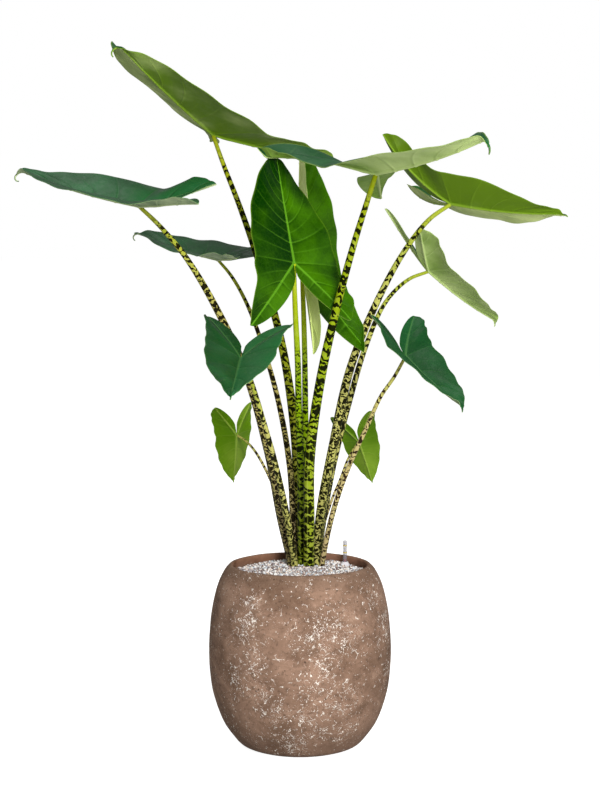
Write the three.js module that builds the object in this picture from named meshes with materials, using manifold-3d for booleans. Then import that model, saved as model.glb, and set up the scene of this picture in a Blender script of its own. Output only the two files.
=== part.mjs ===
// A zebra alocasia in a rounded stone-look planter: twelve leaves on patterned stems, a bed of
// gravel, the mineral fill and rootstock under it, and a water gauge with a float that can rise.
// Millimetres, +Z up. The origin is the middle of the planter's underside. -Y is the front.
import * as THREE from 'three';
import Module from 'manifold-3d';
import { mergeVertices } from 'three/addons/utils/BufferGeometryUtils.js';

const wasm = await Module();
wasm.setup();

// ---------- driving sizes ----------

const gap = 0.3; // between pieces that touch

const pot = {
  sides: 40,
  outerSteps: 11,
  innerSteps: 7,
  floor: 18, // thickness of the bottom
  floorRadius: 90,
  // outer wall from the foot to the rim as [radius, height]
  outer: [[92, 0], [111, 8], [128, 27], [143, 50], [156, 84], [165, 124], [168.5, 178],
    [165.5, 234], [159.5, 272], [151, 304], [140, 327], [133, 336]],
  rim: [[129, 339.5], [126, 340], [123.5, 338]],
  // inner wall from the rim to the floor
  inner: [[124, 330], [131, 312], [143, 284], [150, 246], [154, 178], [150, 120], [138, 70], [112, 30]],
};

const fill = {
  top: 306, // the gravel lies on the substrate here
};

const gravel = {
  top: 322.5,
  radius: 124,
  rings: 8,
  sectors: 36,
  heap: 6, // heaped this much higher round the stems
  heapFrom: 35, // full height within this of the stems' middle
  heapTo: 110,
  grain: 1.3, // height of its bumps
};

const crown = { x: 9, y: 60 }; // middle of the clump of stems

const rootstock = { width: 96, depth: 84, height: 95 };

const gauge = {
  x: 84.5,
  y: 72,
  sides: 16,
  housingRadius: 9,
  collarRadius: 9.8,
  boreRadius: 5.2,
  neckRadius: 4.3, // socket that the clear tube stands in
  socketDepth: 8,
  foot: 52, // height of the housing's closed end, where the planter is still wide enough
  collarFoot: 325,
  collarTop: 331,
  collarTopRadius: 6,
  tubeRadius: 4,
  tubeBore: 3,
  tubeTop: 371.5,
  floatRadius: 4.4,
  floatHeight: 45,
  rodRadius: 1.1,
  tipRadius: 1.9,
  tipHeight: 4,
  tipTop: 336,
};

const sheet = 0.9; // thickness of a blade between its ribs
const midribHeight = 3.4; // below a blade 300 mm long, at its stem
const lateralHeight = 0.75; // of a lateral rib below the blade, at the midrib
const quilting = 1.1; // rise of the blade between two lateral ribs
const waveBeats = 3.5; // waves of the margin from the apex to a lobe's tip
const lobeValley = 12; // degrees that each side of a lobe's rib rises
const stemTop = 2; // the stems end this far inside the thick of the midrib
const stemFoot = fill.top + gap; // the stems stand on the rootstock

// Each leaf is measured where its stem meets its blade.
// at: that place. heading: where the midrib points, from +X towards +Y. pitch: its rise.
// roll: turn about the midrib. length: blade from there to the apex. halfWidth: beside the stem.
// lobes: length of the left and right lobe, looking to the apex from above. spread: of the lobes.
// arch: fall of the midrib to the apex. hook: the apex's own curl. droop: fall of each lobe.
// fold: rise of each half from the midrib. edge: turn-down of each half towards its margin.
// flare: further rise of each half at the apex.
// full: under 1 is a fuller apex. stem: radius at the blade and at the gravel.
// route: the stem from the blade down to the gravel, without its ends. base: where it stands.
const leaves = [
  {
    name: 'high_left', at: [-165, 168, 1131], heading: 237, pitch: 25, roll: -14, length: 335,
    halfWidth: 125, lobes: [245, 215], spread: 41, arch: -6, hook: 60, drip: 20, curl: 130,
    droop: [-30, -4], fold: [16, 8], edge: [10, -10], flare: [0, 0], full: [1.1, 0.61], inner: 0.08,
    blunt: 0.1, wave: 4, phase: 0.4, stem: [3.7, 9], base: [3, 81],
    route: [
      [-143, 162, 1070], [-113, 153, 993], [-73, 141, 876], [-34, 125, 735], [-10, 108, 573],
      [-3, 93, 433],
    ],
  },
  {
    name: 'high_right', at: [134, -106, 1054], heading: -59, pitch: 5, roll: -1, length: 345,
    halfWidth: 100, lobes: [225, 265], spread: 36, arch: -10, hook: 80, drip: 12, curl: 50,
    droop: [34, -42], fold: [10, 26], edge: [0, 48], flare: [38, -10], full: [0.99, 1.01], inner: 0.17,
    blunt: 0.1, wave: 4, phase: 1.1, stem: [4.3, 10], base: [16, 38],
    route: [
      [118, -100, 1003], [96, -91, 931], [67, -76, 822], [38, -57, 690], [18, -31, 542], [17, 8, 420],
    ],
  },
  {
    name: 'wide_left', at: [-288, -60, 997], heading: 159, pitch: 10, roll: 3, length: 255,
    halfWidth: 95, lobes: [200, 155], spread: 35, arch: -12, hook: 60, drip: 20, curl: 150,
    droop: [-26, -30], fold: [10, 34], edge: [24, 24], flare: [0, 0], full: [0.69, 1.03], inner: 0.16,
    blunt: 0.1, wave: 3, phase: 2, stem: [3.5, 9.5], base: [-14.5, 50],
    route: [
      [-251, -53, 961], [-204, -42, 903], [-149, -24, 807], [-96, -2, 686], [-57, 22, 543],
      [-34, 39, 420],
    ],
  },
  {
    name: 'back_left', at: [-157, 188, 894], heading: 149, pitch: 10, roll: -1, length: 200,
    halfWidth: 80, lobes: [125, 120], spread: 40, arch: -12, hook: 50, drip: 16, curl: 130,
    droop: [-22, -8], fold: [14, 22], edge: [18, 18], flare: [0, 0], full: [0.72, 0.92], inner: 0.17,
    blunt: 0.2, wave: 2.5, phase: 0, stem: [2.8, 6], base: [-13, 70],
    route: [
      [-130, 178, 862], [-101, 162, 811], [-69, 138, 728], [-40, 112, 626], [-19, 89, 508],
      [-13, 77, 405],
    ],
  },
  {
    name: 'front_upright', at: [-11, -66, 896], heading: 114, pitch: 66, roll: 0, length: 210,
    halfWidth: 95, lobes: [160, 150], spread: 46, arch: -4, hook: 10, drip: 6, curl: 20,
    droop: [30, 4], fold: [24, -8], edge: [10, 10], flare: [0, 0], full: [0.61, 1.2], inner: 0.17,
    blunt: 0.2, wave: 3.5, phase: 0.8, stem: [4, 7.2], base: [3.5, 56.5],
    route: [
      [-10, -58, 853], [-8, -42, 797], [-4, -20, 713], [-2, 5, 611], [2, 28, 498], [3, 44, 400],
    ],
  },
  {
    name: 'folded_upright', at: [4, 83, 889], heading: 123, pitch: 84, roll: 7, length: 205,
    halfWidth: 85, lobes: [185, 215], spread: 35, arch: -8, hook: 35, drip: 5, curl: 20,
    droop: [14, -18], fold: [64, 6], edge: [2, 2], flare: [0, 0], full: [0.53, 0.53], inner: 0.17,
    blunt: 0.1, wave: 2.5, phase: 2.4, stem: [4, 6.5], base: [14, 66.5],
    route: [
      [5, 82, 846], [7, 80, 790], [9, 77, 706], [10, 74, 606], [12, 71, 494], [13, 68, 399],
    ],
  },
  {
    name: 'wide_right', at: [285, 150, 1000], heading: -35, pitch: -9, roll: -20, length: 240,
    halfWidth: 80, lobes: [210, 195], spread: 32, arch: -12, hook: 20, drip: 6, curl: 20,
    droop: [-30, -30], fold: [0, 28], edge: [-4, -4], flare: [0, 0], full: [1.09, 1.09], inner: 0.19,
    blunt: 0.1, wave: 3, phase: 1.5, stem: [3.7, 9.5], base: [32, 51],
    route: [
      [243, 148, 970], [197, 144, 911], [144, 138, 813], [94, 122, 688], [62, 97, 544], [39, 74, 421],
    ],
  },
  {
    name: 'back_right', at: [252, 285, 868], heading: 32, pitch: -37, roll: 15, length: 195,
    halfWidth: 80, lobes: [155, 150], spread: 33, arch: -12, hook: 50, drip: 6, curl: 20,
    droop: [-30, -18], fold: [20, 26], edge: [22, 22], flare: [0, 0], full: [0.75, 0.75], inner: 0.16,
    blunt: 0.2, wave: 2.5, phase: 0.6, stem: [3.1, 7], base: [32, 71],
    route: [
      [211, 277, 852], [167, 256, 810], [128, 217, 729], [95, 171, 627], [63, 124, 510], [43, 90, 408],
    ],
  },
  {
    name: 'small_right', at: [188, -100, 731], heading: -46, pitch: -36, roll: -12, length: 160,
    halfWidth: 60, lobes: [105, 100], spread: 38, arch: -12, hook: 50, drip: 5, curl: 20,
    droop: [-22, -30], fold: [38, 18], edge: [18, 18], flare: [0, 0], full: [0.8, 0.7], inner: 0.16,
    blunt: 0.2, wave: 2, phase: 1.2, stem: [2.8, 5], base: [41, 39], small: true,
    route: [
      [168, -84, 692], [145, -70, 656], [121, -47, 599], [92, -22, 530], [65, 5, 450], [49, 25, 381],
    ],
  },
  {
    name: 'small_left', at: [-104, -160, 732], heading: -95, pitch: -21, roll: -12, length: 160,
    halfWidth: 70, lobes: [130, 120], spread: 41, arch: -6, hook: 40, drip: 5, curl: 20, droop: [8, 2],
    fold: [34, 24], edge: [12, 12], flare: [0, 0], full: [0.82, 0.57], inner: 0.2, blunt: 0.2, wave: 2,
    phase: 0.2, stem: [3, 6.5], base: [-10, 33], small: true,
    route: [
      [-92, -145, 706], [-80, -123, 668], [-64, -90, 609], [-46, -51, 536], [-29, -13, 454],
      [-17, 14, 382],
    ],
  },
  {
    name: 'low_left', at: [-122, 180, 558], heading: 100, pitch: -75, roll: -27, length: 98,
    halfWidth: 42, lobes: [74, 70], spread: 36, arch: -8, hook: 30, drip: 3, curl: 10, droop: [-8, -2],
    fold: [26, 22], edge: [20, 20], flare: [0, 0], full: [0.86, 0.86], inner: 0.17, blunt: 0.2,
    wave: 1, phase: 1, stem: [2, 3.5], base: [-22, 64], small: true,
    route: [
      [-105, 174, 548], [-87, 163, 530], [-66, 144, 497], [-46, 122, 455], [-29, 97, 406],
      [-25, 78, 361],
    ],
  },
  {
    name: 'low_right', at: [114, 195, 543], heading: 51, pitch: -62, roll: -32, length: 90,
    halfWidth: 38, lobes: [72, 68], spread: 37, arch: 6, hook: 30, drip: 3, curl: 10, droop: [10, 14],
    fold: [30, 24], edge: [14, 14], flare: [0, 0], full: [0.77, 0.84], inner: 0.18, blunt: 0.2,
    wave: 1, phase: 0, stem: [1.8, 3], base: [22, 84], small: true,
    route: [
      [103, 187, 530], [91, 175, 510], [78, 157, 478], [61, 135, 440], [45, 113, 395], [32, 97, 356],
    ],
  },
];

// ---------- solids ----------

const { degToRad, clamp, smoothstep } = THREE.MathUtils;

function toSolid(geometry) {
  const bare = new THREE.BufferGeometry();
  bare.setAttribute('position', geometry.getAttribute('position').clone());
  if (geometry.index) {
    bare.setIndex(geometry.index.clone());
  }
  const merged = mergeVertices(bare, 1e-4);
  return new wasm.Manifold(new wasm.Mesh({
    numProp: 3,
    vertProperties: new Float32Array(merged.getAttribute('position').array),
    triVerts: new Uint32Array(merged.index.array),
  }));
}

function toGeometry(solid) {
  const mesh = solid.getMesh();
  const geometry = new THREE.BufferGeometry();
  geometry.setAttribute('position', new THREE.Float32BufferAttribute(mesh.vertProperties, 3));
  geometry.setIndex(new THREE.Uint32BufferAttribute(mesh.triVerts, 1));
  return geometry;
}

// the largest body of a solid; slivers that a cut leaves behind are dropped
function largest(solid) {
  const bodies = solid.simplify(0.02).decompose();
  return bodies.reduce((best, body) => (body.volume() > best.volume() ? body : best));
}

// copies of a thin solid moved a gap each way: together they take up its room and the gap
function withGap(solid) {
  const moves = [[0, 0, 0], [1, 0, 0], [-1, 0, 0], [0, 1, 0], [0, -1, 0], [0, 0, 1], [0, 0, -1]];
  return moves.map((move) => solid.translate(move.map((c) => c * gap)));
}

function cutBy(solid, cutters) {
  return cutters.reduce((rest, cutter) => rest.subtract(cutter), solid);
}

// a turned solid: a closed profile of [radius, height] about the Z axis
function turned(profile, sides) {
  const points = profile.map(([radius, height]) => new THREE.Vector2(radius, height));
  const geometry = new THREE.LatheGeometry(points, sides);
  geometry.rotateX(Math.PI / 2);
  const solid = toSolid(geometry);
  return solid.volume() < 0 ? toSolid(flipped(geometry)) : solid;
}

function flipped(geometry) {
  const other = geometry.clone();
  const index = other.index.array;
  for (let i = 0; i < index.length; i += 3) {
    [index[i], index[i + 1]] = [index[i + 1], index[i]];
  }
  return other;
}

// ---------- leaf blade ----------

const stemShare = 0.6; // rib parameter: 0 at the apex, this beside the stem, 1 at a lobe's tip
const tipRow = 0.04; // extra row just before a lobe's tip, as a share of the lobe
const veinLean = 0.15; // the lateral ribs lean to the apex
const lobeVeinLean = 0.11; // and to the tip in the lobes
const dripShare = 1 / 12; // of the midrib's rows, in the thread-like end of the apex
const dripHalfWidth = 1.5;
const scallop = 0.02; // the margin swings in and out by this share of the half width
const scallopBeats = 6.5;

// A line that bends as it goes, from its slope at each share of its length.
function bentLine(length, slopeAt, reach = 1) {
  const steps = 60;
  const along = [0];
  const rise = [0];
  for (let i = 1; i <= steps; i += 1) {
    const slope = (slopeAt((reach * (i - 1)) / steps) + slopeAt((reach * i) / steps)) / 2;
    along.push(along[i - 1] + (Math.cos(slope) * length * reach) / steps);
    rise.push(rise[i - 1] + (Math.sin(slope) * length * reach) / steps);
  }
  return (share) => {
    const place = clamp((share / reach) * steps, 0, steps);
    const i = Math.min(Math.floor(place), steps - 1);
    const part = place - i;
    return {
      along: along[i] + (along[i + 1] - along[i]) * part,
      rise: rise[i] + (rise[i + 1] - rise[i]) * part,
      slope: slopeAt(share),
    };
  };
}

// everything about one half of a blade that doesn't change over it
function bladeHalf(leaf, side) {
  const { length, halfWidth } = leaf;
  const reach = 1 + leaf.drip / length;
  const lobe = leaf.lobes[side];
  const spread = degToRad(leaf.spread);
  const [arch, hook, curl] = [degToRad(leaf.arch), degToRad(leaf.hook), degToRad(leaf.curl)];
  const [droop, fold] = [degToRad(leaf.droop[side]), degToRad(leaf.fold[side])];
  const [edge, flare] = [degToRad(leaf.edge[side]), degToRad(leaf.flare[side])];
  return {
    leaf,
    side,
    lobe,
    flare,
    tip: [-lobe * Math.cos(spread), lobe * Math.sin(spread)],
    inward: [-Math.sin(spread), -Math.cos(spread)],
    midrib: bentLine(
      length,
      (s) => -(arch * s ** 1.3 + hook * smoothstep(s, 0.92, 1) + curl * smoothstep(s, 1, reach)),
      reach,
    ),
    lobeRib: bentLine(lobe, (s) => -droop * s ** 0.9, 1.2),
    across: bentLine(halfWidth, (s) => fold - edge * s ** 1.5, 1.3),
  };
}

// flat place on the outer margin, x to the apex and y away from the midrib
function outerMargin(half, s) {
  const { length, drip, full, blunt } = half.leaf;
  const swing = scallop * Math.sin(2 * Math.PI * scallopBeats * s + half.side * 2);
  const halfWidth = half.leaf.halfWidth * (1 + swing);
  if (s < dripShare * stemShare) {
    const share = Math.max(s / stemShare, 0) / dripShare;
    return [length + drip * (1 - share), dripHalfWidth * Math.sqrt(share)];
  }
  if (s < stemShare) {
    const a = (s / stemShare - dripShare) / (1 - dripShare);
    const taper = 1 - 0.5 * Math.exp(-a / 0.06);
    const fullness = Math.sin((Math.PI * a) / 2) ** full[half.side];
    return [length * (1 - a ** 1.12), Math.max(halfWidth * fullness * taper, dripHalfWidth)];
  }
  const q = Math.min((s - stemShare) / (1 - stemShare), 1);
  const swell = halfWidth * (1 + 0.07 * Math.sin(Math.PI * q));
  const round = blunt * half.lobe * Math.sqrt(1 - q) * smoothstep(q, 0.4, 1);
  return [
    half.tip[0] * q - half.inward[0] * round,
    swell + (half.tip[1] - halfWidth) * q ** 3 - half.inward[1] * round,
  ];
}

// flat place of rib share t, v of the way to the outer or, in a lobe, the inner margin
function flatPlace(half, t, v, inner) {
  const a = clamp((t / stemShare - dripShare) / (1 - dripShare), 0, 1);
  const beyond = clamp(1 - t / (stemShare * dripShare), 0, 1);
  const q = clamp((t - stemShare) / (1 - stemShare), 0, 1);
  const ahead = half.leaf.length * (1 - a) + half.leaf.drip * beyond;
  const rib = t < stemShare ? [ahead, 0] : [half.tip[0] * q, half.tip[1] * q];
  let margin;
  if (inner) {
    const width = half.leaf.inner * half.lobe * Math.abs(Math.sin(Math.PI * q ** 0.85)) ** 0.6;
    margin = [rib[0] + half.inward[0] * width, rib[1] + half.inward[1] * width];
    margin[1] = Math.max(margin[1], 0.1 * Math.abs(margin[0]));
  } else {
    const lean = t < stemShare ? -veinLean * Math.sin(Math.PI * a) : lobeVeinLean * Math.sin(Math.PI * q);
    margin = outerMargin(half, t + lean * v ** 0.4);
  }
  return {
    x: rib[0] + (margin[0] - rib[0]) * v,
    y: rib[1] + (margin[1] - rib[1]) * v,
    fromRib: Math.hypot(margin[0] - rib[0], margin[1] - rib[1]) * v,
    lobeShare: q,
  };
}

// the same place on the arched, folded and waved blade, in the leaf's own axes
function bentPlace(half, t, v, inner) {
  const { leaf, side } = half;
  const flat = flatPlace(half, t, v, inner);
  const ahead = flat.x >= 0;
  const line = ahead ? half.midrib(flat.x / leaf.length) : half.lobeRib(-flat.x / leaf.lobes[side]);
  const slope = ahead ? line.slope : -line.slope;
  const x = ahead ? line.along : -line.along;
  const section = half.across(flat.y / leaf.halfWidth);
  const turn = half.flare * Math.min(Math.max(flat.x / leaf.length, 0), 1);
  const aside = section.along * Math.cos(turn) - section.rise * Math.sin(turn);
  const lift = section.along * Math.sin(turn) + section.rise * Math.cos(turn);
  const valley = Math.tan(degToRad(lobeValley) * smoothstep(flat.lobeShare, 0, 0.34));
  const beat = Math.sin(2 * Math.PI * waveBeats * t + leaf.phase + (side === 0 ? 0 : 1.7));
  const wave = inner ? 0 : leaf.wave * v * v * beat * smoothstep(t, 0, 0.17) * smoothstep(1 - t, 0, 0.2);
  const height = lift + valley * flat.fromRib + wave;
  return new THREE.Vector3(
    x - Math.sin(slope) * height,
    (side === 0 ? 1 : -1) * aside,
    line.rise + Math.cos(slope) * height,
  );
}

// the leaf's axes in the plant: midrib, left, and up out of the upper face
function leafMatrix(leaf) {
  const [heading, pitch, roll] = [leaf.heading, leaf.pitch, leaf.roll].map(degToRad);
  const turn = new THREE.Matrix4().makeRotationZ(heading);
  turn.multiply(new THREE.Matrix4().makeRotationY(-pitch));
  turn.multiply(new THREE.Matrix4().makeRotationX(roll));
  return turn.setPosition(...leaf.at);
}

// The middle surface of a blade as rows that run from the ribs to the margins. Every second row
// is a lateral rib. Returns its places, how much of a rib each one is, and its triangles.
function bladeSurface(leaf) {
  const [rowsAhead, rowsLobe] = leaf.small ? [8, 4] : [12, 6];
  const outerSteps = [0, 0.09, 0.42, 0.75, 1];
  const innerSteps = [0, 0.5, 1];
  const places = [];
  const ribs = [];
  const triangles = [];
  const seen = new Map();
  const vertex = (place, rib) => {
    const key = place.toArray().map((c) => c.toFixed(3)).join();
    if (!seen.has(key)) {
      seen.set(key, places.length);
      places.push(place);
      ribs.push(rib);
    }
    return seen.get(key);
  };
  const triangle = (a, b, c) => {
    if (a !== b && b !== c && c !== a) {
      triangles.push([a, b, c]);
    }
  };
  const strip = (half, rows, steps, inner) => {
    const grid = rows.map(({ t, row }) => steps.map((v) => {
      const lateral = row % 2 === 0 ? 1 - v : 0;
      const main = v === 0 ? 1 - 0.7 * Math.abs(t - stemShare) / stemShare : 0;
      const between = row % 2 ? 4 * v * (1 - v) : 0;
      return vertex(bentPlace(half, t, v, inner), { lateral, main, between });
    }));
    const facesUp = (half.side === 0) !== inner;
    for (let i = 0; i + 1 < grid.length; i += 1) {
      for (let j = 0; j + 1 < steps.length; j += 1) {
        const [a, b, c, d] = [grid[i][j], grid[i + 1][j], grid[i + 1][j + 1], grid[i][j + 1]];
        if (facesUp) {
          triangle(a, c, b);
          triangle(a, d, c);
        } else {
          triangle(a, b, c);
          triangle(a, c, d);
        }
      }
    }
  };
  for (const side of [0, 1]) {
    const half = bladeHalf(leaf, side);
    const rows = [];
    for (let row = 0; row <= rowsAhead + rowsLobe; row += 1) {
      const t = row <= rowsAhead
        ? (stemShare * row) / rowsAhead
        : stemShare + ((1 - stemShare) * (row - rowsAhead)) / rowsLobe;
      if (row === rowsAhead + rowsLobe) {
        rows.push({ t: 1 - tipRow * (1 - stemShare), row });
      }
      rows.push({ t, row });
      if (row === 0 && leaf.curl > 90) {
        rows.push({ t: (stemShare * dripShare) / 2, row });
      }
    }
    const stemRow = rows.findIndex(({ row }) => row === rowsAhead);
    strip(half, rows, outerSteps, false);
    strip(half, rows.slice(stemRow), innerSteps, true);
  }
  return { places, ribs, triangles };
}

// the edges of a triangle list that only one triangle has, in that triangle's direction
function openEdges(triangles) {
  const edges = new Map();
  for (const [a, b, c] of triangles) {
    for (const [from, to] of [[a, b], [b, c], [c, a]]) {
      if (!edges.delete(`${to},${from}`)) {
        edges.set(`${from},${to}`, [from, to]);
      }
    }
  }
  return [...edges.values()];
}

// a closed blade: both faces have the same triangles, with a strip round the margin between them
function bladeSolid(leaf) {
  const { places, ribs, triangles } = bladeSurface(leaf);
  const count = places.length;
  const middle = new THREE.BufferGeometry();
  middle.setAttribute('position', new THREE.Float32BufferAttribute(places.flatMap((p) => p.toArray()), 3));
  middle.setIndex(triangles.flat());
  middle.computeVertexNormals();
  const normalAt = (i) => new THREE.Vector3().fromBufferAttribute(middle.getAttribute('normal'), i);
  const mainHeight = midribHeight * (leaf.length / 300) ** 0.5;
  const positions = [];
  const face = (offsetAt) => places.forEach((place, i) => {
    positions.push(...place.clone().addScaledVector(normalAt(i), offsetAt(ribs[i])).toArray());
  });
  face((rib) => sheet / 2 + rib.between * quilting);
  face((rib) => rib.between * quilting - (sheet / 2 + rib.main * mainHeight + rib.lateral * lateralHeight));
  const index = [];
  for (const [a, b, c] of triangles) {
    index.push(a, b, c, a + count, c + count, b + count);
  }
  for (const [from, to] of openEdges(triangles)) {
    index.push(from, from + count, to + count, from, to + count, to);
  }
  const geometry = new THREE.BufferGeometry();
  geometry.setAttribute('position', new THREE.Float32BufferAttribute(positions, 3));
  geometry.setIndex(index);
  geometry.applyMatrix4(leafMatrix(leaf));
  return toSolid(geometry);
}

// ---------- stem ----------

// a tapered stem: a straight turned cone bent along the leaf's route
function stemSolid(leaf, grown = 0) {
  const [topRadius, baseRadius] = leaf.stem;
  const rings = leaf.small ? 9 : 12;
  const [baseX, baseY] = leaf.base;
  const route = [leaf.at, ...leaf.route, [baseX, baseY, gravel.top + gravel.heap], [baseX, baseY, stemFoot]];
  const curve = new THREE.CatmullRomCurve3(route.map((p) => new THREE.Vector3(...p)));
  const start = stemTop / curve.getLength();
  const profile = [new THREE.Vector2(0, 0)];
  for (let ring = 0; ring <= rings; ring += 1) {
    const share = ring / rings;
    const radius = topRadius + (baseRadius - topRadius) * Math.sin((Math.PI / 2) * Math.min(share / 0.94, 1));
    profile.push(new THREE.Vector2(radius + grown, share));
  }
  profile.push(new THREE.Vector2(0, 1));
  const geometry = new THREE.LatheGeometry(profile, leaf.small ? 7 : 8);
  const positions = geometry.getAttribute('position');
  const point = new THREE.Vector3();
  for (let i = 0; i < positions.count; i += 1) {
    point.fromBufferAttribute(positions, i);
    const share = start + (1 - start) * point.y;
    const tangent = curve.getTangentAt(share);
    const across = new THREE.Vector3(0, 1, 0).cross(tangent).normalize();
    const up = tangent.clone().cross(across);
    const place = curve.getPointAt(share);
    place.addScaledVector(across, point.x).addScaledVector(up, point.z);
    positions.setXYZ(i, place.x, place.y, place.z);
  }
  const solid = toSolid(geometry);
  return solid.volume() < 0 ? toSolid(flipped(geometry)) : solid;
}

// ---------- planter and what it holds ----------

function smoothProfile(points, steps) {
  const spline = new THREE.SplineCurve(points.map(([radius, height]) => new THREE.Vector2(radius, height)));
  return spline.getPoints(steps).map((p) => [p.x, p.y]);
}

function potSolid() {
  const outer = smoothProfile(pot.outer, pot.outerSteps);
  const inner = smoothProfile(pot.inner, pot.innerSteps);
  const floor = [[pot.floorRadius, pot.floor], [0, pot.floor]];
  return turned([[0, 0], ...outer, ...pot.rim, ...inner, ...floor], pot.sides);
}

// what fills the planter up to a height, a gap clear of its wall and floor
function insidePot(top) {
  const clear = 0.5; // sideways, so that the sloped wall keeps its gap too
  const inner = smoothProfile(pot.inner, pot.innerSteps).reverse();
  const wall = inner.map(([radius, height]) => [radius - clear, height + gap]);
  const mouth = pot.inner[0][1];
  const floor = pot.floor + gap;
  const room = turned([[0, floor], [pot.floorRadius - clear, floor], ...wall, [0, mouth + gap]], pot.sides);
  return room.trimByPlane([0, 0, -1], -top);
}

// half an ellipsoid, flat on top where the stems stand
function rootstockSolid(grown = 0) {
  const rings = 5;
  const height = rootstock.height + 2 * grown;
  const profile = [];
  for (let ring = 0; ring <= rings; ring += 1) {
    const angle = (Math.PI / 2) * (ring / rings);
    profile.push([0.5 * Math.sin(angle), -height * Math.cos(angle)]);
  }
  const unit = turned([...profile, [0, 0]], 18);
  const stretched = unit.scale([rootstock.width + 3 * grown, rootstock.depth + 3 * grown, 1]);
  return stretched.translate([crown.x, crown.y, fill.top + grown]);
}

// Gravel on a polar grid. Its bumps come from crossing waves, flat under the rim.
function gravelSolid() {
  const { rings, sectors, radius, heap, grain, top } = gravel;
  const positions = [];
  const index = [];
  const heightAt = (x, y) => {
    const fromCrown = Math.hypot(x - crown.x, y - crown.y);
    const mound = heap * (1 - smoothstep(fromCrown, gravel.heapFrom, gravel.heapTo));
    const across = Math.sin(x * 0.71 + 1.3 * Math.sin(y * 0.37));
    const bumps = across * Math.sin(y * 0.63 + 1.1 * Math.sin(x * 0.29));
    return top + mound + grain * bumps;
  };
  positions.push(0, 0, heightAt(0, 0));
  for (let ring = 1; ring <= rings; ring += 1) {
    for (let sector = 0; sector < sectors; sector += 1) {
      const angle = (2 * Math.PI * (sector + (ring % 2) / 2)) / sectors;
      const r = (radius * ring) / rings;
      const [x, y] = [r * Math.cos(angle), r * Math.sin(angle)];
      positions.push(x, y, heightAt(x, y));
    }
  }
  const vertex = (ring, sector) => (ring === 0 ? 0 : 1 + (ring - 1) * sectors + (sector % sectors));
  for (let sector = 0; sector < sectors; sector += 1) {
    index.push(0, vertex(1, sector), vertex(1, sector + 1));
    for (let ring = 1; ring < rings; ring += 1) {
      const [a, b] = [vertex(ring, sector), vertex(ring, sector + 1)];
      const shift = ring % 2; // odd rings stand half a sector ahead
      const [c, d] = [vertex(ring + 1, sector + shift), vertex(ring + 1, sector + 1 + shift)];
      if (shift) {
        index.push(a, vertex(ring + 1, sector), c, a, c, b);
      } else {
        index.push(a, c, b, b, c, d);
      }
    }
  }
  // flat underside: the outer ring again, lower down and closed to a middle point
  const underside = positions.length / 3;
  for (let sector = 0; sector < sectors; sector += 1) {
    const edge = 3 * vertex(rings, sector);
    positions.push(positions[edge], positions[edge + 1], fill.top + gap);
  }
  positions.push(0, 0, fill.top + gap);
  const middle = underside + sectors;
  for (let sector = 0; sector < sectors; sector += 1) {
    const [a, b] = [vertex(rings, sector), vertex(rings, sector + 1)];
    const [c, d] = [underside + sector, underside + ((sector + 1) % sectors)];
    index.push(a, c, d, a, d, b, c, middle, d);
  }
  const geometry = new THREE.BufferGeometry();
  geometry.setAttribute('position', new THREE.Float32BufferAttribute(positions, 3));
  geometry.setIndex(index);
  return toSolid(geometry);
}

// ---------- water gauge ----------

function gaugeHousing() {
  const g = gauge;
  const profile = [
    [0, g.foot], [g.housingRadius, g.foot], [g.housingRadius, g.collarFoot - 3],
    [g.collarRadius, g.collarFoot - 2], [g.collarRadius, g.collarFoot], [g.collarTopRadius, g.collarTop],
    [g.neckRadius, g.collarTop], [g.neckRadius, g.collarTop - g.socketDepth],
    [g.boreRadius, g.collarTop - g.socketDepth - 1.5], [g.boreRadius, g.foot + 2], [0, g.foot + 2],
  ];
  return turned(profile, g.sides);
}

function gaugeTube() {
  const g = gauge;
  const foot = g.collarTop - g.socketDepth + gap;
  const profile = [
    [g.tubeBore, foot], [g.tubeRadius, foot], [g.tubeRadius, g.tubeTop - 1], [g.tubeRadius - 1, g.tubeTop],
    [0, g.tubeTop], [0, g.tubeTop - 1.5], [g.tubeBore, g.tubeTop - 1.5],
  ];
  return turned([...profile, profile[0]], g.sides);
}

function gaugeFloat() {
  const g = gauge;
  const foot = g.foot + 2 + gap;
  const shoulder = foot + g.floatHeight;
  const tipFoot = g.tipTop - g.tipHeight;
  return turned([
    [0, foot], [g.floatRadius, foot], [g.floatRadius, shoulder], [g.rodRadius, shoulder + 2],
    [g.rodRadius, tipFoot], [g.tipRadius, tipFoot + 0.5], [g.tipRadius, g.tipTop - 0.5], [0, g.tipTop],
  ], 12);
}

// what the gauge displaces in the gravel and the substrate
function gaugeRoom() {
  const g = gauge;
  const radius = g.collarRadius + gap + 0.1;
  const [low, high] = [g.foot - gap, g.collarTop + 5];
  return turned([[0, low], [radius, low], [radius, high], [0, high]], g.sides);
}

// ---------- assembly ----------

const inPlace = (solid) => solid.translate([gauge.x, gauge.y, 0]);
const root = rootstockSolid(gap);
const room = inPlace(gaugeRoom());

const colours = {
  pot: [0x7d6252, 0.9],
  substrate: [0x5b4a3c, 0.95],
  gravel: [0xb9b3ad, 0.9],
  rootstock: [0x6a5136, 0.9],
  housing: [0xd9d7d6, 0.5],
  tube: [0xe6e6ea, 0.15],
  float: [0xc8322a, 0.4],
  darkBlade: [0x2f5c49, 0.45],
  brightBlade: [0x2c7a1b, 0.4],
  midBlade: [0x5f8a45, 0.5],
  patternStem: [0x8a9446, 0.5],
  brightStem: [0x86ad1f, 0.5],
  tanStem: [0x9c8f5a, 0.55],
};
const bladeColour = {
  wide_left: 'darkBlade', back_left: 'darkBlade', small_right: 'darkBlade', small_left: 'darkBlade',
  front_upright: 'brightBlade', folded_upright: 'brightBlade',
};
const stemColour = {
  front_upright: 'brightStem', folded_upright: 'brightStem',
  small_right: 'tanStem', small_left: 'tanStem', low_left: 'tanStem', low_right: 'tanStem',
};

const plant = new THREE.Group();

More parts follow.
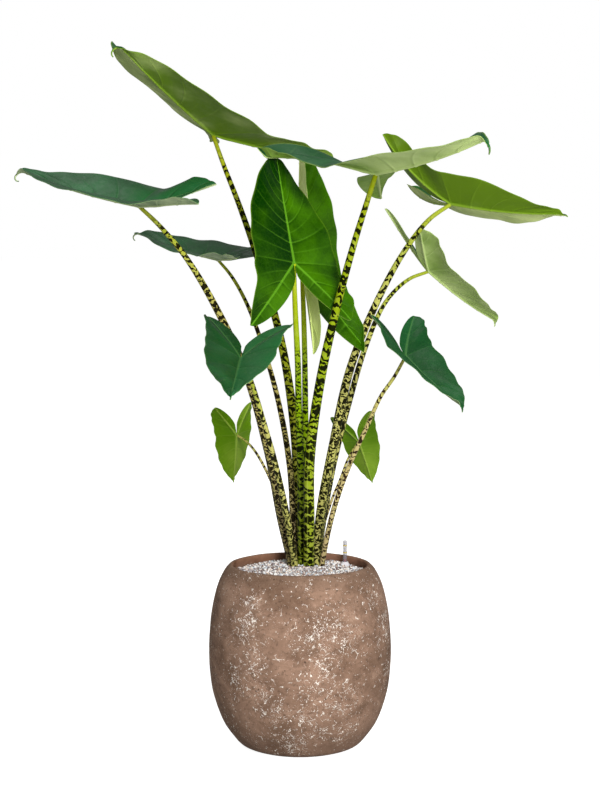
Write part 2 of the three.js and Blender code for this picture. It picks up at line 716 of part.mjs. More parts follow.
function addPiece(name, solid, colour) {
  const [color, roughness] = colours[colour];
  const material = new THREE.MeshStandardMaterial({ color, roughness, metalness: 0 });
  material.name = colour;
  if (colour === 'tube') {
    material.transparent = true;
    material.opacity = 0.4;
  }
  const mesh = new THREE.Mesh(toGeometry(largest(solid)), material);
  mesh.name = name;
  plant.add(mesh);
}

addPiece('pot', potSolid(), 'pot');
addPiece('substrate', cutBy(insidePot(fill.top), [root, room]), 'substrate');
addPiece('rootstock', rootstockSolid(), 'rootstock');

// Stems in order from the front of the crown: each gives way to those already placed.
const crownOrder = [
  'high_right', 'small_left', 'small_right', 'wide_left', 'wide_right', 'front_upright',
  'folded_upright', 'back_left', 'high_left', 'back_right', 'low_left', 'low_right',
];
const placed = [];
for (const name of crownOrder) {
  const leaf = leaves.find((other) => other.name === name);
  const blade = bladeSolid(leaf);
  const stem = cutBy(stemSolid(leaf), [...placed, ...withGap(blade)]);
  addPiece(`stem_${name}`, stem, stemColour[name] ?? 'patternStem');
  addPiece(`blade_${name}`, blade, bladeColour[name] ?? 'midBlade');
  placed.push(stemSolid(leaf, gap));
}

addPiece('gravel', cutBy(gravelSolid(), [...placed, room]), 'gravel');
addPiece('gauge_housing', inPlace(gaugeHousing()), 'housing');
addPiece('gauge_tube', inPlace(gaugeTube()), 'tube');
addPiece('gauge_float', inPlace(gaugeFloat()), 'float');

export default plant;
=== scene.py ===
import math
import random

import bpy
import numpy as np
from mathutils import Matrix, Vector, noise


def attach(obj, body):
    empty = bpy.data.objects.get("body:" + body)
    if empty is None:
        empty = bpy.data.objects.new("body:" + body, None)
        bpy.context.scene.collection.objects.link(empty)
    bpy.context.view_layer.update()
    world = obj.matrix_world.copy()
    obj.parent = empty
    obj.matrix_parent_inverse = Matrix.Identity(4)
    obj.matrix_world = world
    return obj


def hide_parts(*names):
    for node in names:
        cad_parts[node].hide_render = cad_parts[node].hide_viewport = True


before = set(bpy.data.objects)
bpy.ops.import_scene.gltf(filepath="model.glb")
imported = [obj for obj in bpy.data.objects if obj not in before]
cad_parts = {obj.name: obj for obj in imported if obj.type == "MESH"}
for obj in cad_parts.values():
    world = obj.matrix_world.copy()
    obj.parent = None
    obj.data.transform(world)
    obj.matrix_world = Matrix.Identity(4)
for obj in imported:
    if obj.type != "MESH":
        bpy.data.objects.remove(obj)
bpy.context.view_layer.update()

# A zebra alocasia in a rounded stone-look planter. Sizes are in millimetres up to the moment a
# mesh is made, and -Y is the front.
mm = 0.001
scene = bpy.context.scene


# ---- small helpers for meshes

def smooth01(x, low, high):
    s = np.clip((x - low) / (high - low), 0.0, 1.0)
    return s * s * (3.0 - 2.0 * s)


def meshPiece(name, places, faces, replaces=(), body="planter", smooth=True):
    # places in millimetres; every piece rides on a body and stands for its plain solid
    mesh = bpy.data.meshes.new(name)
    mesh.from_pydata((np.asarray(places) * mm).tolist(), [], [list(f) for f in faces])
    mesh.update()
    mesh.polygons.foreach_set("use_smooth", [smooth] * len(mesh.polygons))
    piece = bpy.data.objects.new(name, mesh)
    scene.collection.objects.link(piece)
    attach(piece, body)
    if replaces:
        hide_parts(*replaces)
    return piece


def giveValues(piece, name, values):
    # one number or one vector for each vertex, read by the materials
    values = np.asarray(values, dtype=np.float32)
    kind, key = ("FLOAT", "value") if values.ndim == 1 else ("FLOAT_VECTOR", "vector")
    piece.data.attributes.new(name, kind, "POINT").data.foreach_set(key, values.ravel())


def ringFaces(rings, closed=False):
    # faces between rings of vertices, each given by its numbers; a ring may be one point on the axis
    faces = []
    for a, b in zip(rings, rings[1:] + rings[:closed]):
        for side in range(len(a)):
            corners = dict.fromkeys((a[side - 1], a[side], b[side], b[side - 1]))
            if len(corners) > 2:
                faces.append(tuple(corners))
    return faces


def dress(piece, material):
    piece.data.materials.clear()
    piece.data.materials.append(material)


def vectorsOf(mesh, name):
    values = np.zeros(len(mesh.vertices) * 3)
    mesh.vertices.foreach_get(name, values)
    return values.reshape(-1, 3)


def bent(b, c, start, end, s):
    # a place between b and c on a rounded line that leaves and arrives with these slopes
    return (b + start * s + (-3 * b + 3 * c - 2 * start - end) * s ** 2 + (2 * b - 2 * c + start + end) * s ** 3)


def spacedAlong(line, shares):
    # places at these shares of a line's length, and its length
    line = np.array(line)
    along = np.concatenate([[0], np.cumsum(np.linalg.norm(np.diff(line, axis=0), axis=1))])
    where = [np.interp(shares * along[-1], along, line[:, k]) for k in range(line.shape[1])]
    return np.stack(where, axis=1), along[-1]


def vertexNormals(places, faces):
    triangles = np.array([(face[0], face[k], face[k + 1]) for face in faces for k in range(1, len(face) - 1)])
    a, b, c = (places[triangles[:, k]] for k in range(3))
    flat = np.cross(b - a, c - a)
    total = np.zeros_like(places)
    for k in range(3):
        np.add.at(total, triangles[:, k], flat)
    length = np.linalg.norm(total, axis=1, keepdims=True)
    return total / np.maximum(length, 1e-9)


# ---- small helpers for materials

def paint(red, green, blue):
    # a colour given as on a screen, 0 to 255, for the shader
    shares = [c / 255.0 for c in (red, green, blue)]
    return (*(c / 12.92 if c <= 0.04045 else ((c + 0.055) / 1.055) ** 2.4 for c in shares), 1.0)


class Finish:
    # a material in the making: most calls add one node and give its output, and a colour is three
    # numbers from 0 to 255
    def __init__(self, name):
        self.material = bpy.data.materials.new(name)
        self.material.use_nodes = True
        self.tree = self.material.node_tree
        self.shader = self.tree.nodes["Principled BSDF"]

    def feed(self, socket, value):
        if isinstance(value, bpy.types.NodeSocket):
            self.tree.links.new(value, socket)
        else:
            socket.default_value = value

    def node(self, kind, inputs, output=0, **settings):
        node = self.tree.nodes.new(kind)
        for key, value in settings.items():
            setattr(node, key, value)
        for key, value in inputs.items():
            self.feed(node.inputs[key], value)
        return node.outputs[output]

    def set(self, name, value):
        self.feed(self.shader.inputs[name], value)

    def done(self, colour, roughness, normal=None, specular=None):
        self.set("Base Color", colour)
        self.set("Roughness", roughness)
        if normal is not None:
            self.set("Normal", normal)
        if specular is not None:
            self.set("Specular IOR Level", specular)
        return self.material

    def value(self, name, output="Fac"):
        return self.node("ShaderNodeAttribute", {}, output, attribute_name=name)

    def place(self):
        return self.node("ShaderNodeTexCoord", {}, "Object")

    def parts(self, vector):
        return self.node("ShaderNodeSeparateXYZ", {0: vector}, slice(3))

    def scaled(self, vector, scale, location=(0, 0, 0)):
        return self.node("ShaderNodeMapping", {"Vector": vector, "Scale": scale, "Location": location})

    def noise(self, vector, scale, detail=3.0, roughness=0.55, distortion=0.0, output=0):
        return self.node("ShaderNodeTexNoise", {"Vector": vector, "Scale": scale, "Detail": detail,
                                                "Roughness": roughness, "Distortion": distortion}, output)

    def cells(self, vector, scale, feature="DISTANCE_TO_EDGE"):
        return self.node("ShaderNodeTexVoronoi", {"Vector": vector, "Scale": scale}, "Distance", feature=feature)

    def sums(self, operation, a, b=0.0):
        return self.node("ShaderNodeMath", {0: a, 1: b}, operation=operation)

    def times(self, a, b):
        return self.sums("MULTIPLY", a, b)

    def plus(self, a, b, share=None):
        # the second may be taken by a share only
        return self.sums("ADD", a, b if share is None else self.times(b, share))

    def between(self, value, low, high, toLow=0.0, toHigh=1.0):
        return self.node("ShaderNodeMapRange", {"Value": value, "From Min": low, "From Max": high,
                                                "To Min": toLow, "To Max": toHigh},
                         "Result", interpolation_type="SMOOTHSTEP")

    def blend(self, share, a, b):
        a, b = (paint(*c) if isinstance(c, tuple) else c for c in (a, b))
        return self.node("ShaderNodeMix", {0: share, 6: a, 7: b}, 2, data_type="RGBA")

    def bump(self, height, strength, distance, normal=None):
        inputs = {"Height": height, "Strength": strength, "Distance": distance}
        if normal is not None:
            inputs["Normal"] = normal
        return self.node("ShaderNodeBump", inputs)


# ---- camera, floor and light, as in the product photo

view = {
    "camera": (0.0, -3.8, 1.012),
    "aim": (0.0, 0.0, 0.643),
    "lens": 93.87,
    "floorHalf": 30.0,
    "floorColour": (192, 192, 190),
    "floorGlow": 0.95,
    "floorBounce": 0.08,       # how much of it lights the plant from below
    "skyColour": (1.0, 1.0, 1.0, 1.0),
    "skyFill": 0.12,           # how much of it lights the plant
    "skyShine": 0.26,          # and how much of it shows in glossy leaves
}


def aimed(name, data, place, aim):
    thing = bpy.data.objects.new(name, data)
    scene.collection.objects.link(thing)
    thing.location = place
    thing.rotation_euler = (Vector(aim) - Vector(place)).to_track_quat("-Z", "Y").to_euler()
    return thing


def placeCamera():
    data = bpy.data.cameras.new("camera")
    data.lens = view["lens"]
    data.sensor_width = 36.0
    data.sensor_fit = "AUTO"
    scene.camera = aimed("camera", data, view["camera"], view["aim"])


def softLight(name, place, aim, size, power, glints=True):
    data = bpy.data.lights.new(name, "AREA")
    data.shape = "RECTANGLE"
    data.size, data.size_y = size
    data.energy = power
    aimed(name, data, place, aim).visible_glossy = glints


def makeStage():
    half = view["floorHalf"]
    mesh = bpy.data.meshes.new("floor")
    mesh.from_pydata([(-half, -half, 0), (half, -half, 0), (half, half, 0), (-half, half, 0)], [], [(0, 1, 2, 3)])
    floor = bpy.data.objects.new("floor", mesh)
    scene.collection.objects.link(floor)
    mat = Finish("floor")
    mat.set("Emission Color", view["skyColour"])
    seen = mat.node("ShaderNodeLightPath", {}, "Is Camera Ray")
    mat.set("Emission Strength", mat.between(seen, 0.0, 1.0, view["floorBounce"], view["floorGlow"]))
    dress(floor, mat.done(paint(*view["floorColour"]), 0.9, specular=0.0))
    world = bpy.data.worlds.new("studio")
    world.use_nodes = True
    nodes, links = world.node_tree.nodes, world.node_tree.links
    nodes.clear()
    # the sky shows white, and lights the plant a little less
    path = nodes.new("ShaderNodeLightPath")
    last = None
    for ray, strength in ((None, view["skyFill"]), ("Is Glossy Ray", view["skyShine"]), ("Is Camera Ray", 1.0)):
        sky = nodes.new("ShaderNodeBackground")
        sky.inputs["Color"].default_value = view["skyColour"]
        sky.inputs["Strength"].default_value = strength
        if ray is None:
            last = sky.outputs[0]
            continue
        mix = nodes.new("ShaderNodeMixShader")
        links.new(path.outputs[ray], mix.inputs[0])
        links.new(last, mix.inputs[1])
        links.new(sky.outputs[0], mix.inputs[2])
        last = mix.outputs[0]
    links.new(last, nodes.new("ShaderNodeOutputWorld").inputs[0])
    scene.world = world
    softLight("keyLight", (0.95, -3.62, 1.95), (0, 0, 0.55), (1.4, 1.8), 222, glints=False)
    softLight("topLight", (-0.3, 0.2, 3.6), (0, 0, 0.5), (2.6, 2.6), 30)
    softLight("sideLight", (3.2, -0.9, 1.5), (0, 0, 0.7), (1.6, 2.2), 6)
    softLight("backLight", (-0.8, 3.6, 1.9), (0, 0, 0.6), (2.2, 2.0), 46, glints=False)
    scene.view_settings.view_transform = "Standard"


placeCamera()
makeStage()
print("camera, floor and light are set")


# ---- leaves

leafForm = {
    "stemShare": 0.6,       # rib parameter: 0 at the apex, this beside the stem, 1 at a lobe's tip
    "veinLean": 0.15,       # the lateral ribs lean to the apex
    "lobeVeinLean": 0.11,   # and to the tip in the lobes
    "dripShare": 1 / 12,    # of the midrib's rows, in the thread-like end of the apex
    "dripHalfWidth": 1.5,   # of that end
    "scallop": 0.02,        # the margin swings in and out by this share of the half width
    "scallopBeats": 6.5,
    "sheet": 0.9,           # thickness between the ribs
    "midrib": 3.4,          # height under a blade 300 mm long
    "midribSpread": 1.25,   # its half width, in heights
    "midribAbove": 0.22,    # share of it that shows above
    "lateralSunk": 0.55,    # depth of a lateral rib's line on the upper face
    "lateral": 0.75,        # height of a lateral rib under the blade
    "quilting": 1.1,        # rise between two lateral ribs
    "waveBeats": 3.5,       # waves along a half's margin
    "lobeValley": 12,       # degrees that each side of a lobe's rib rises
    "ripple": 0.8,          # small extra waves right at the margin
    "rippleBeats": 11,
    "rowShares": [0, 0.015, 0.035, 0.06, 0.1, 0.17, 0.27, 0.38, 0.5, 0.62, 0.73, 0.83, 0.9, 0.94, 0.965, 0.985],
    "outer": [0, 0.006, 0.013, 0.022, 0.034, 0.05, 0.075, 0.11, 0.16, 0.22, 0.29, 0.36, 0.43, 0.5, 0.57,
              0.64, 0.71, 0.78, 0.84, 0.89, 0.93, 0.96, 0.98, 0.992, 1],
    "inner": [0, 0.03, 0.07, 0.13, 0.22, 0.35, 0.5, 0.65, 0.78, 0.88, 0.95, 0.985, 1],
}

# at: where the stem meets the blade. turn: heading, pitch and roll of the midrib. length: to the apex.
# lobes: left and right, looking to the apex from above. The angles of arch, hook, droop, fold,
# edge and flare bend the blade. stem: radius at the blade and at the gravel. base: where the stem stands.
# route: places that its stem passes on the way down.
# tone and the lobes' tone: where each half and its lobe lie between the deep and the light colour, partly the
# leaf's own tone and partly painted light and shade.
leaves = {
    "high_left": dict(
        at=(-165, 168, 1131), turn=(237, 25, -14), length=335, halfWidth=125, lobes=(245, 215),
        spread=41, arch=-6, hook=60, drip=20, curl=130, droop=(-30, -4), fold=(16, 8), edge=(10, -10),
        full=(1.1, 0.61), inner=0.08, blunt=0.1, wave=4, phase=0.4, stem=(3.7, 9),
        base=(3, 81), tone=(0.16, 0.6), lobeShadeAndTone=(0.1, 0.5), look="mid", bark="bold",
        route=[(-143, 162, 1070), (-113, 153, 993), (-73, 141, 876), (-34, 125, 735), (-10, 108, 573),
               (-3, 93, 433)]),
    "high_right": dict(
        at=(134, -106, 1054), turn=(-59, 5, -1), length=345, halfWidth=100, lobes=(225, 265),
        spread=36, arch=-10, hook=80, drip=12, curl=50, droop=(34, -42), fold=(10, 26), edge=(0, 48),
        flare=(38, -10), full=(0.99, 1.01), inner=0.17, blunt=0.1, wave=4, phase=1.1, stem=(4.3, 10),
        base=(16, 38), tone=(0.8, 0.8), lobeShadeAndTone=(0.1, 0.08), look="pale", bark="bright",
        route=[(118, -100, 1003), (96, -91, 931), (67, -76, 822), (38, -57, 690), (18, -31, 542),
               (17, 8, 420)]),
    "wide_left": dict(
        at=(-288, -60, 997), turn=(159, 10, 3), length=255, halfWidth=95, lobes=(200, 155),
        spread=35, arch=-12, hook=60, drip=20, curl=150, droop=(-26, -30), fold=(10, 34), edge=(24, 24),
        full=(0.69, 1.03), inner=0.16, blunt=0.1, wave=3, phase=2, stem=(3.5, 9.5),
        base=(-14.5, 50), tone=(0.5, 0.5), lobeShadeAndTone=(0.5, 0.7), look="dark", bark="olive",
        route=[(-251, -53, 961), (-204, -42, 903), (-149, -24, 807), (-96, -2, 686), (-57, 22, 543),
               (-34, 39, 420)]),
    "back_left": dict(
        at=(-157, 188, 894), turn=(149, 10, -1), length=200, halfWidth=80, lobes=(125, 120),
        spread=40, arch=-12, hook=50, drip=16, curl=130, droop=(-22, -8), fold=(14, 22), edge=(18, 18),
        full=(0.72, 0.92), inner=0.17, blunt=0.2, wave=2.5, phase=0, stem=(2.8, 6),
        base=(-13, 70), tone=(0.5, 0.35), lobeShadeAndTone=(0.5, 0.5), look="dark", bark="olive",
        route=[(-130, 178, 862), (-101, 162, 811), (-69, 138, 728), (-40, 112, 626), (-19, 89, 508),
               (-13, 77, 405)]),
    "front_upright": dict(
        at=(-11, -66, 896), turn=(114, 66, 0), length=210, halfWidth=95, lobes=(160, 150),
        spread=46, arch=-4, hook=10, drip=6, curl=20, droop=(30, 4), fold=(24, -8), edge=(10, 10),
        full=(0.61, 1.2), inner=0.17, blunt=0.2, wave=3.5, phase=0.8, stem=(4, 7.2),
        base=(3.5, 56.5), tone=(0.12, 0.33), lobeShadeAndTone=(0.45, 0.5), look="bright", bark="lime",
        route=[(-10, -58, 853), (-8, -42, 797), (-4, -20, 713), (-2, 5, 611), (2, 28, 498), (3, 44, 400)]),
    "folded_upright": dict(
        at=(4, 83, 889), turn=(123, 84, 7), length=205, halfWidth=85, lobes=(185, 215),
        spread=35, arch=-8, hook=35, drip=5, curl=20, droop=(14, -18), fold=(64, 6), edge=(2, 2),
        full=(0.53, 0.53), inner=0.17, blunt=0.1, wave=2.5, phase=2.4, stem=(4, 6.5),
        base=(14, 66.5), tone=(0.95, 0.55), lobeShadeAndTone=(0.55, 0.5), look="bright", bark="lime",
        route=[(5, 82, 846), (7, 80, 790), (9, 77, 706), (10, 74, 606), (12, 71, 494), (13, 68, 399)]),
    "wide_right": dict(
        at=(285, 150, 1000), turn=(-35, -9, -20), length=240, halfWidth=80, lobes=(210, 195),
        spread=32, arch=-12, hook=20, drip=6, curl=20, droop=(-30, -30), fold=(0, 28), edge=(-4, -4),
        full=(1.09, 1.09), inner=0.19, blunt=0.1, wave=3, phase=1.5, stem=(3.7, 9.5),
        base=(32, 51), tone=(0.85, -0.02), lobeShadeAndTone=(0.8, 0), look="mid", bark="khaki",
        route=[(243, 148, 970), (197, 144, 911), (144, 138, 813), (94, 122, 688), (62, 97, 544),
               (39, 74, 421)]),
    "back_right": dict(
        at=(252, 285, 868), turn=(32, -37, 15), length=195, halfWidth=80, lobes=(155, 150),
        spread=33, arch=-12, hook=50, drip=6, curl=20, droop=(-30, -18), fold=(20, 26), edge=(22, 22),
        full=(0.75, 0.75), inner=0.16, blunt=0.2, wave=2.5, phase=0.6, stem=(3.1, 7),
        base=(32, 71), tone=(0.55, 0.55), lobeShadeAndTone=(0.5, 0.5), look="pale", bark="khaki",
        route=[(211, 277, 852), (167, 256, 810), (128, 217, 729), (95, 171, 627), (63, 124, 510),
               (43, 90, 408)]),
    "small_right": dict(
        at=(188, -100, 731), turn=(-46, -36, -12), length=160, halfWidth=60, lobes=(105, 100),
        spread=38, arch=-12, hook=50, drip=5, curl=20, droop=(-22, -30), fold=(38, 18), edge=(18, 18),
        full=(0.8, 0.7), inner=0.16, blunt=0.2, wave=2, phase=1.2, stem=(2.8, 5),
        base=(41, 39), tone=(0.4, 0.45), lobeShadeAndTone=(0.3, 0.3), look="dark", bark="tan", small=True,
        route=[(168, -84, 692), (145, -70, 656), (121, -47, 599), (92, -22, 530), (65, 5, 450),
               (49, 25, 381)]),
    "small_left": dict(
        at=(-104, -160, 732), turn=(-95, -21, -12), length=160, halfWidth=70, lobes=(130, 120),
        spread=41, arch=-6, hook=40, drip=5, curl=20, droop=(8, 2), fold=(34, 24), edge=(12, 12),
        full=(0.82, 0.57), inner=0.2, blunt=0.2, wave=2, phase=0.2, stem=(3, 6.5),
        base=(-10, 33), tone=(0.95, 0.25), lobeShadeAndTone=(0.9, 0.2), look="dark", bark="khaki", small=True,
        route=[(-92, -145, 706), (-80, -123, 668), (-64, -90, 609), (-46, -51, 536), (-29, -13, 454),
               (-17, 14, 382)]),
    "low_left": dict(
        at=(-122, 180, 558), turn=(100, -75, -27), length=98, halfWidth=42, lobes=(74, 70),
        spread=36, arch=-8, hook=30, drip=3, curl=10, droop=(-8, -2), fold=(26, 22), edge=(20, 20),
        full=(0.86, 0.86), inner=0.17, blunt=0.2, wave=1, phase=1, stem=(2, 3.5),
        base=(-22, 64), tone=(0.3, 0.5), lobeShadeAndTone=(0.1, 0.4), look="young", bark="tan", small=True,
        route=[(-105, 174, 548), (-87, 163, 530), (-66, 144, 497), (-46, 122, 455), (-29, 97, 406),
               (-25, 78, 361)]),
    "low_right": dict(
        at=(114, 195, 543), turn=(51, -62, -32), length=90, halfWidth=38, lobes=(72, 68),
        spread=37, arch=6, hook=30, drip=3, curl=10, droop=(10, 14), fold=(30, 24), edge=(14, 14),
        full=(0.77, 0.84), inner=0.18, blunt=0.2, wave=1, phase=0, stem=(1.8, 3),
        base=(22, 84), tone=(0.4, 0.4), lobeShadeAndTone=(0.2, 0.3), look="young", bark="tan", small=True,
        route=[(103, 187, 530), (91, 175, 510), (78, 157, 478), (61, 135, 440), (45, 113, 395),
               (32, 97, 356)]),
}


def bentLine(length, slopeAt, reach=1.0):
    # a line that bends as it goes; returns how far along, how high and how steep at each share
    steps = 60
    shares = np.linspace(0.0, reach, steps + 1)
    slopes = slopeAt(shares)
    middle = (slopes[1:] + slopes[:-1]) / 2
    along = np.concatenate([[0], np.cumsum(np.cos(middle))]) * length * reach / steps
    rise = np.concatenate([[0], np.cumsum(np.sin(middle))]) * length * reach / steps

    def at(share):
        return np.interp(share, shares, along), np.interp(share, shares, rise), slopeAt(share)
    return at


def bladeHalf(leaf, side):
    lobe = leaf["lobes"][side]
    spread, arch, hook, curl = (math.radians(leaf[key]) for key in ("spread", "arch", "hook", "curl"))
    droop, fold, edge = (math.radians(leaf[key][side]) for key in ("droop", "fold", "edge"))
    reach = 1 + leaf["drip"] / leaf["length"]

    def midribSlope(s):
        return -(arch * np.maximum(s, 0) ** 1.3 + hook * smooth01(s, 0.92, 1.0) + curl * smooth01(s, 1.0, reach))

    return {
        "leaf": leaf,
        "side": side,
        "lobe": lobe,
        "tip": (-lobe * math.cos(spread), lobe * math.sin(spread)),
        "inward": (-math.sin(spread), -math.cos(spread)),
        "midrib": bentLine(leaf["length"], midribSlope, reach),
        "lobeRib": bentLine(lobe, lambda s: -droop * np.maximum(s, 0) ** 0.9, 1.2),
        "across": bentLine(leaf["halfWidth"], lambda s: fold - edge * np.maximum(s, 0) ** 1.5, 1.3),
    }


def ribShares(t):
    # how far a rib parameter lies from the apex to the stem, before the thread, and from the stem to a lobe's tip
    stemShare, dripShare = leafForm["stemShare"], leafForm["dripShare"]
    ahead = np.clip((t / stemShare - dripShare) / (1 - dripShare), 0, 1)
    thread = np.clip(t / (stemShare * dripShare), 0, 1)
    return ahead, thread, np.clip((t - stemShare) / (1 - stemShare), 0, 1), t < stemShare


def outerMargin(half, s):
    leaf = half["leaf"]
    swing = leafForm["scallop"] * np.sin(2 * np.pi * leafForm["scallopBeats"] * s + half["side"] * 2)
    width = leaf["halfWidth"] * (1 + swing)
    a, thread, q, ahead = ribShares(s)
    taper = 1 - 0.5 * np.exp(-a / 0.06)
    body = width * np.sin(np.pi * a / 2) ** leaf["full"][half["side"]] * taper
    swell = width * (1 + 0.07 * np.sin(np.pi * q))
    blunt = leaf["blunt"] * half["lobe"] * np.sqrt(1 - q) * smooth01(q, 0.4, 1.0)
    x = np.where(ahead, leaf["length"] * (1 - a ** 1.12) + leaf["drip"] * (1 - thread),
                 half["tip"][0] * q - half["inward"][0] * blunt)
    y = np.where(ahead, np.maximum(body, leafForm["dripHalfWidth"] * np.sqrt(thread)),
                 swell + (half["tip"][1] - width) * q ** 3 - half["inward"][1] * blunt)
    return x, y


def flatPlace(half, t, v, inner):
    a, thread, q, ahead = ribShares(t)
    leaf = half["leaf"]
    ribX = np.where(ahead, leaf["length"] * (1 - a) + leaf["drip"] * (1 - thread), half["tip"][0] * q)
    ribY = np.where(ahead, 0.0, half["tip"][1] * q)
    if inner:
        width = leaf["inner"] * half["lobe"] * np.abs(np.sin(np.pi * q ** 0.85)) ** 0.6
        edgeX = ribX + half["inward"][0] * width
        edgeY = np.maximum(ribY + half["inward"][1] * width, 0.1 * np.abs(edgeX))
    else:
        lean = np.where(ahead, -leafForm["veinLean"] * np.sin(np.pi * a),
                        leafForm["lobeVeinLean"] * np.sin(np.pi * q))
        edgeX, edgeY = outerMargin(half, t + lean * v ** 0.4)
    width = np.hypot(edgeX - ribX, edgeY - ribY)
    return ribX + (edgeX - ribX) * v, ribY + (edgeY - ribY) * v, width * v, q


def bentPlace(half, t, v, inner):
    # the flat place, and the same place on the arched, folded and waved blade
    leaf, side = half["leaf"], half["side"]
    mirror = 1 if side == 0 else -1
    x, y, fromRib, q = flatPlace(half, t, v, inner)
    ahead = x >= 0
    forward, back = half["midrib"](x / leaf["length"]), half["lobeRib"](-x / half["lobe"])
    along = np.where(ahead, forward[0], -back[0])
    rise = np.where(ahead, forward[1], back[1])
    slope = np.where(ahead, forward[2], -back[2])
    aside, up, _ = half["across"](y / leaf["halfWidth"])
    flare = math.radians(leaf.get("flare", (0, 0))[side]) * np.clip(x / leaf["length"], 0, 1)
    across = aside * np.cos(flare) - up * np.sin(flare)
    lift = aside * np.sin(flare) + up * np.cos(flare)
    valley = np.where(q > 0, np.tan(math.radians(leafForm["lobeValley"]) * smooth01(q, 0, 0.34)), 0.0)
    turn = leaf["phase"] + 1.7 * side       # the two halves wave out of step
    wave = np.zeros_like(t)
    if not inner:
        ends = smooth01(t, 0, 0.17) * smooth01(1 - t, 0, 0.2)
        wave = leaf["wave"] * v * v * np.sin(2 * np.pi * leafForm["waveBeats"] * t + turn) * ends
        ripple = np.sin(2 * np.pi * leafForm["rippleBeats"] * t + 2 * turn) + 0.6 * np.sin(47 * t + turn)
        wave += leafForm["ripple"] * v ** 5 * ripple * ends
    height = lift + valley * fromRib + wave
    places = np.stack([along - np.sin(slope) * height, mirror * across, rise + np.cos(slope) * height], axis=-1)
    flat = np.stack([x, mirror * y, np.zeros_like(x)], axis=-1)
    return places, flat, fromRib


def leafMatrix(leaf):
    turn = Matrix.Translation(Vector(leaf["at"]))
    for angle, axis, sense in zip(leaf["turn"], "ZYX", (1, -1, 1)):
        turn = turn @ Matrix.Rotation(math.radians(sense * angle), 4, axis)
    return np.array(turn)


def rowShares(leaf):
    # rib parameter of every row, and how far the row is between two lateral ribs
    ahead, lobe = (4, 2) if leaf.get("small") else (6, 3)
    stemShare = leafForm["stemShare"]
    marks = [stemShare * k / ahead for k in range(ahead)]
    marks += [stemShare + (1 - stemShare) * k / lobe for k in range(lobe + 1)]
    rows = [(low + (high - low) * share, share)
            for low, high in zip(marks[:-1], marks[1:]) for share in leafForm["rowShares"]]
    return np.array(rows + [(1.0, 0.0)]), ahead * len(leafForm["rowShares"])


def bladeSheet(leaf):
    # the middle surface with everything that the faces and the material need at each vertex
    rows, stemRow = rowShares(leaf)
    keys, values, faces = {}, [], []
    for side, inner in ((0, False), (0, True), (1, False), (1, True)):
        steps = np.array(leafForm["inner" if inner else "outer"])
        strip = rows[stemRow:] if inner else rows
        t, v = np.meshgrid(strip[:, 0], steps, indexing="ij")
        phase = np.repeat(strip[:, 1:2], len(steps), axis=1)
        places, flat, fromRib = bentPlace(bladeHalf(leaf, side), t, v, inner)
        table = np.dstack([places, flat, t, v, phase, fromRib, np.full(t.shape, float(inner))])
        # vertices that halves and lobes share are made once
        index = np.empty(t.shape, int)
        for i, j in np.ndindex(t.shape):
            key = tuple(np.round(places[i, j], 2))
            if key not in keys:
                keys[key] = len(values)
                values.append(table[i, j])
            index[i, j] = keys[key]
        for i, j in np.ndindex(t.shape[0] - 1, t.shape[1] - 1):
            corners = [index[i, j], index[i + 1, j], index[i + 1, j + 1], index[i, j + 1]]
            if (side == 0) != inner:
                corners.reverse()
            corners = [c for k, c in enumerate(corners) if c != corners[k - 1]]
            if len(set(corners)) >= 3:
                faces.append(tuple(int(c) for c in corners))
    values = np.array(values)
    sheet = {"places": values[:, :3], "flat": values[:, 3:6], "faces": faces}
    for k, name in enumerate(("t", "v", "phase", "fromRib", "inner")):
        sheet[name] = values[:, 6 + k]
    return sheet


def openEdges(faces):
    # edges that only one face has: the margin
    edges = dict.fromkeys((a, b) for face in faces for a, b in zip(face, face[1:] + face[:1]))
    return [(a, b) for a, b in edges if (b, a) not in edges]


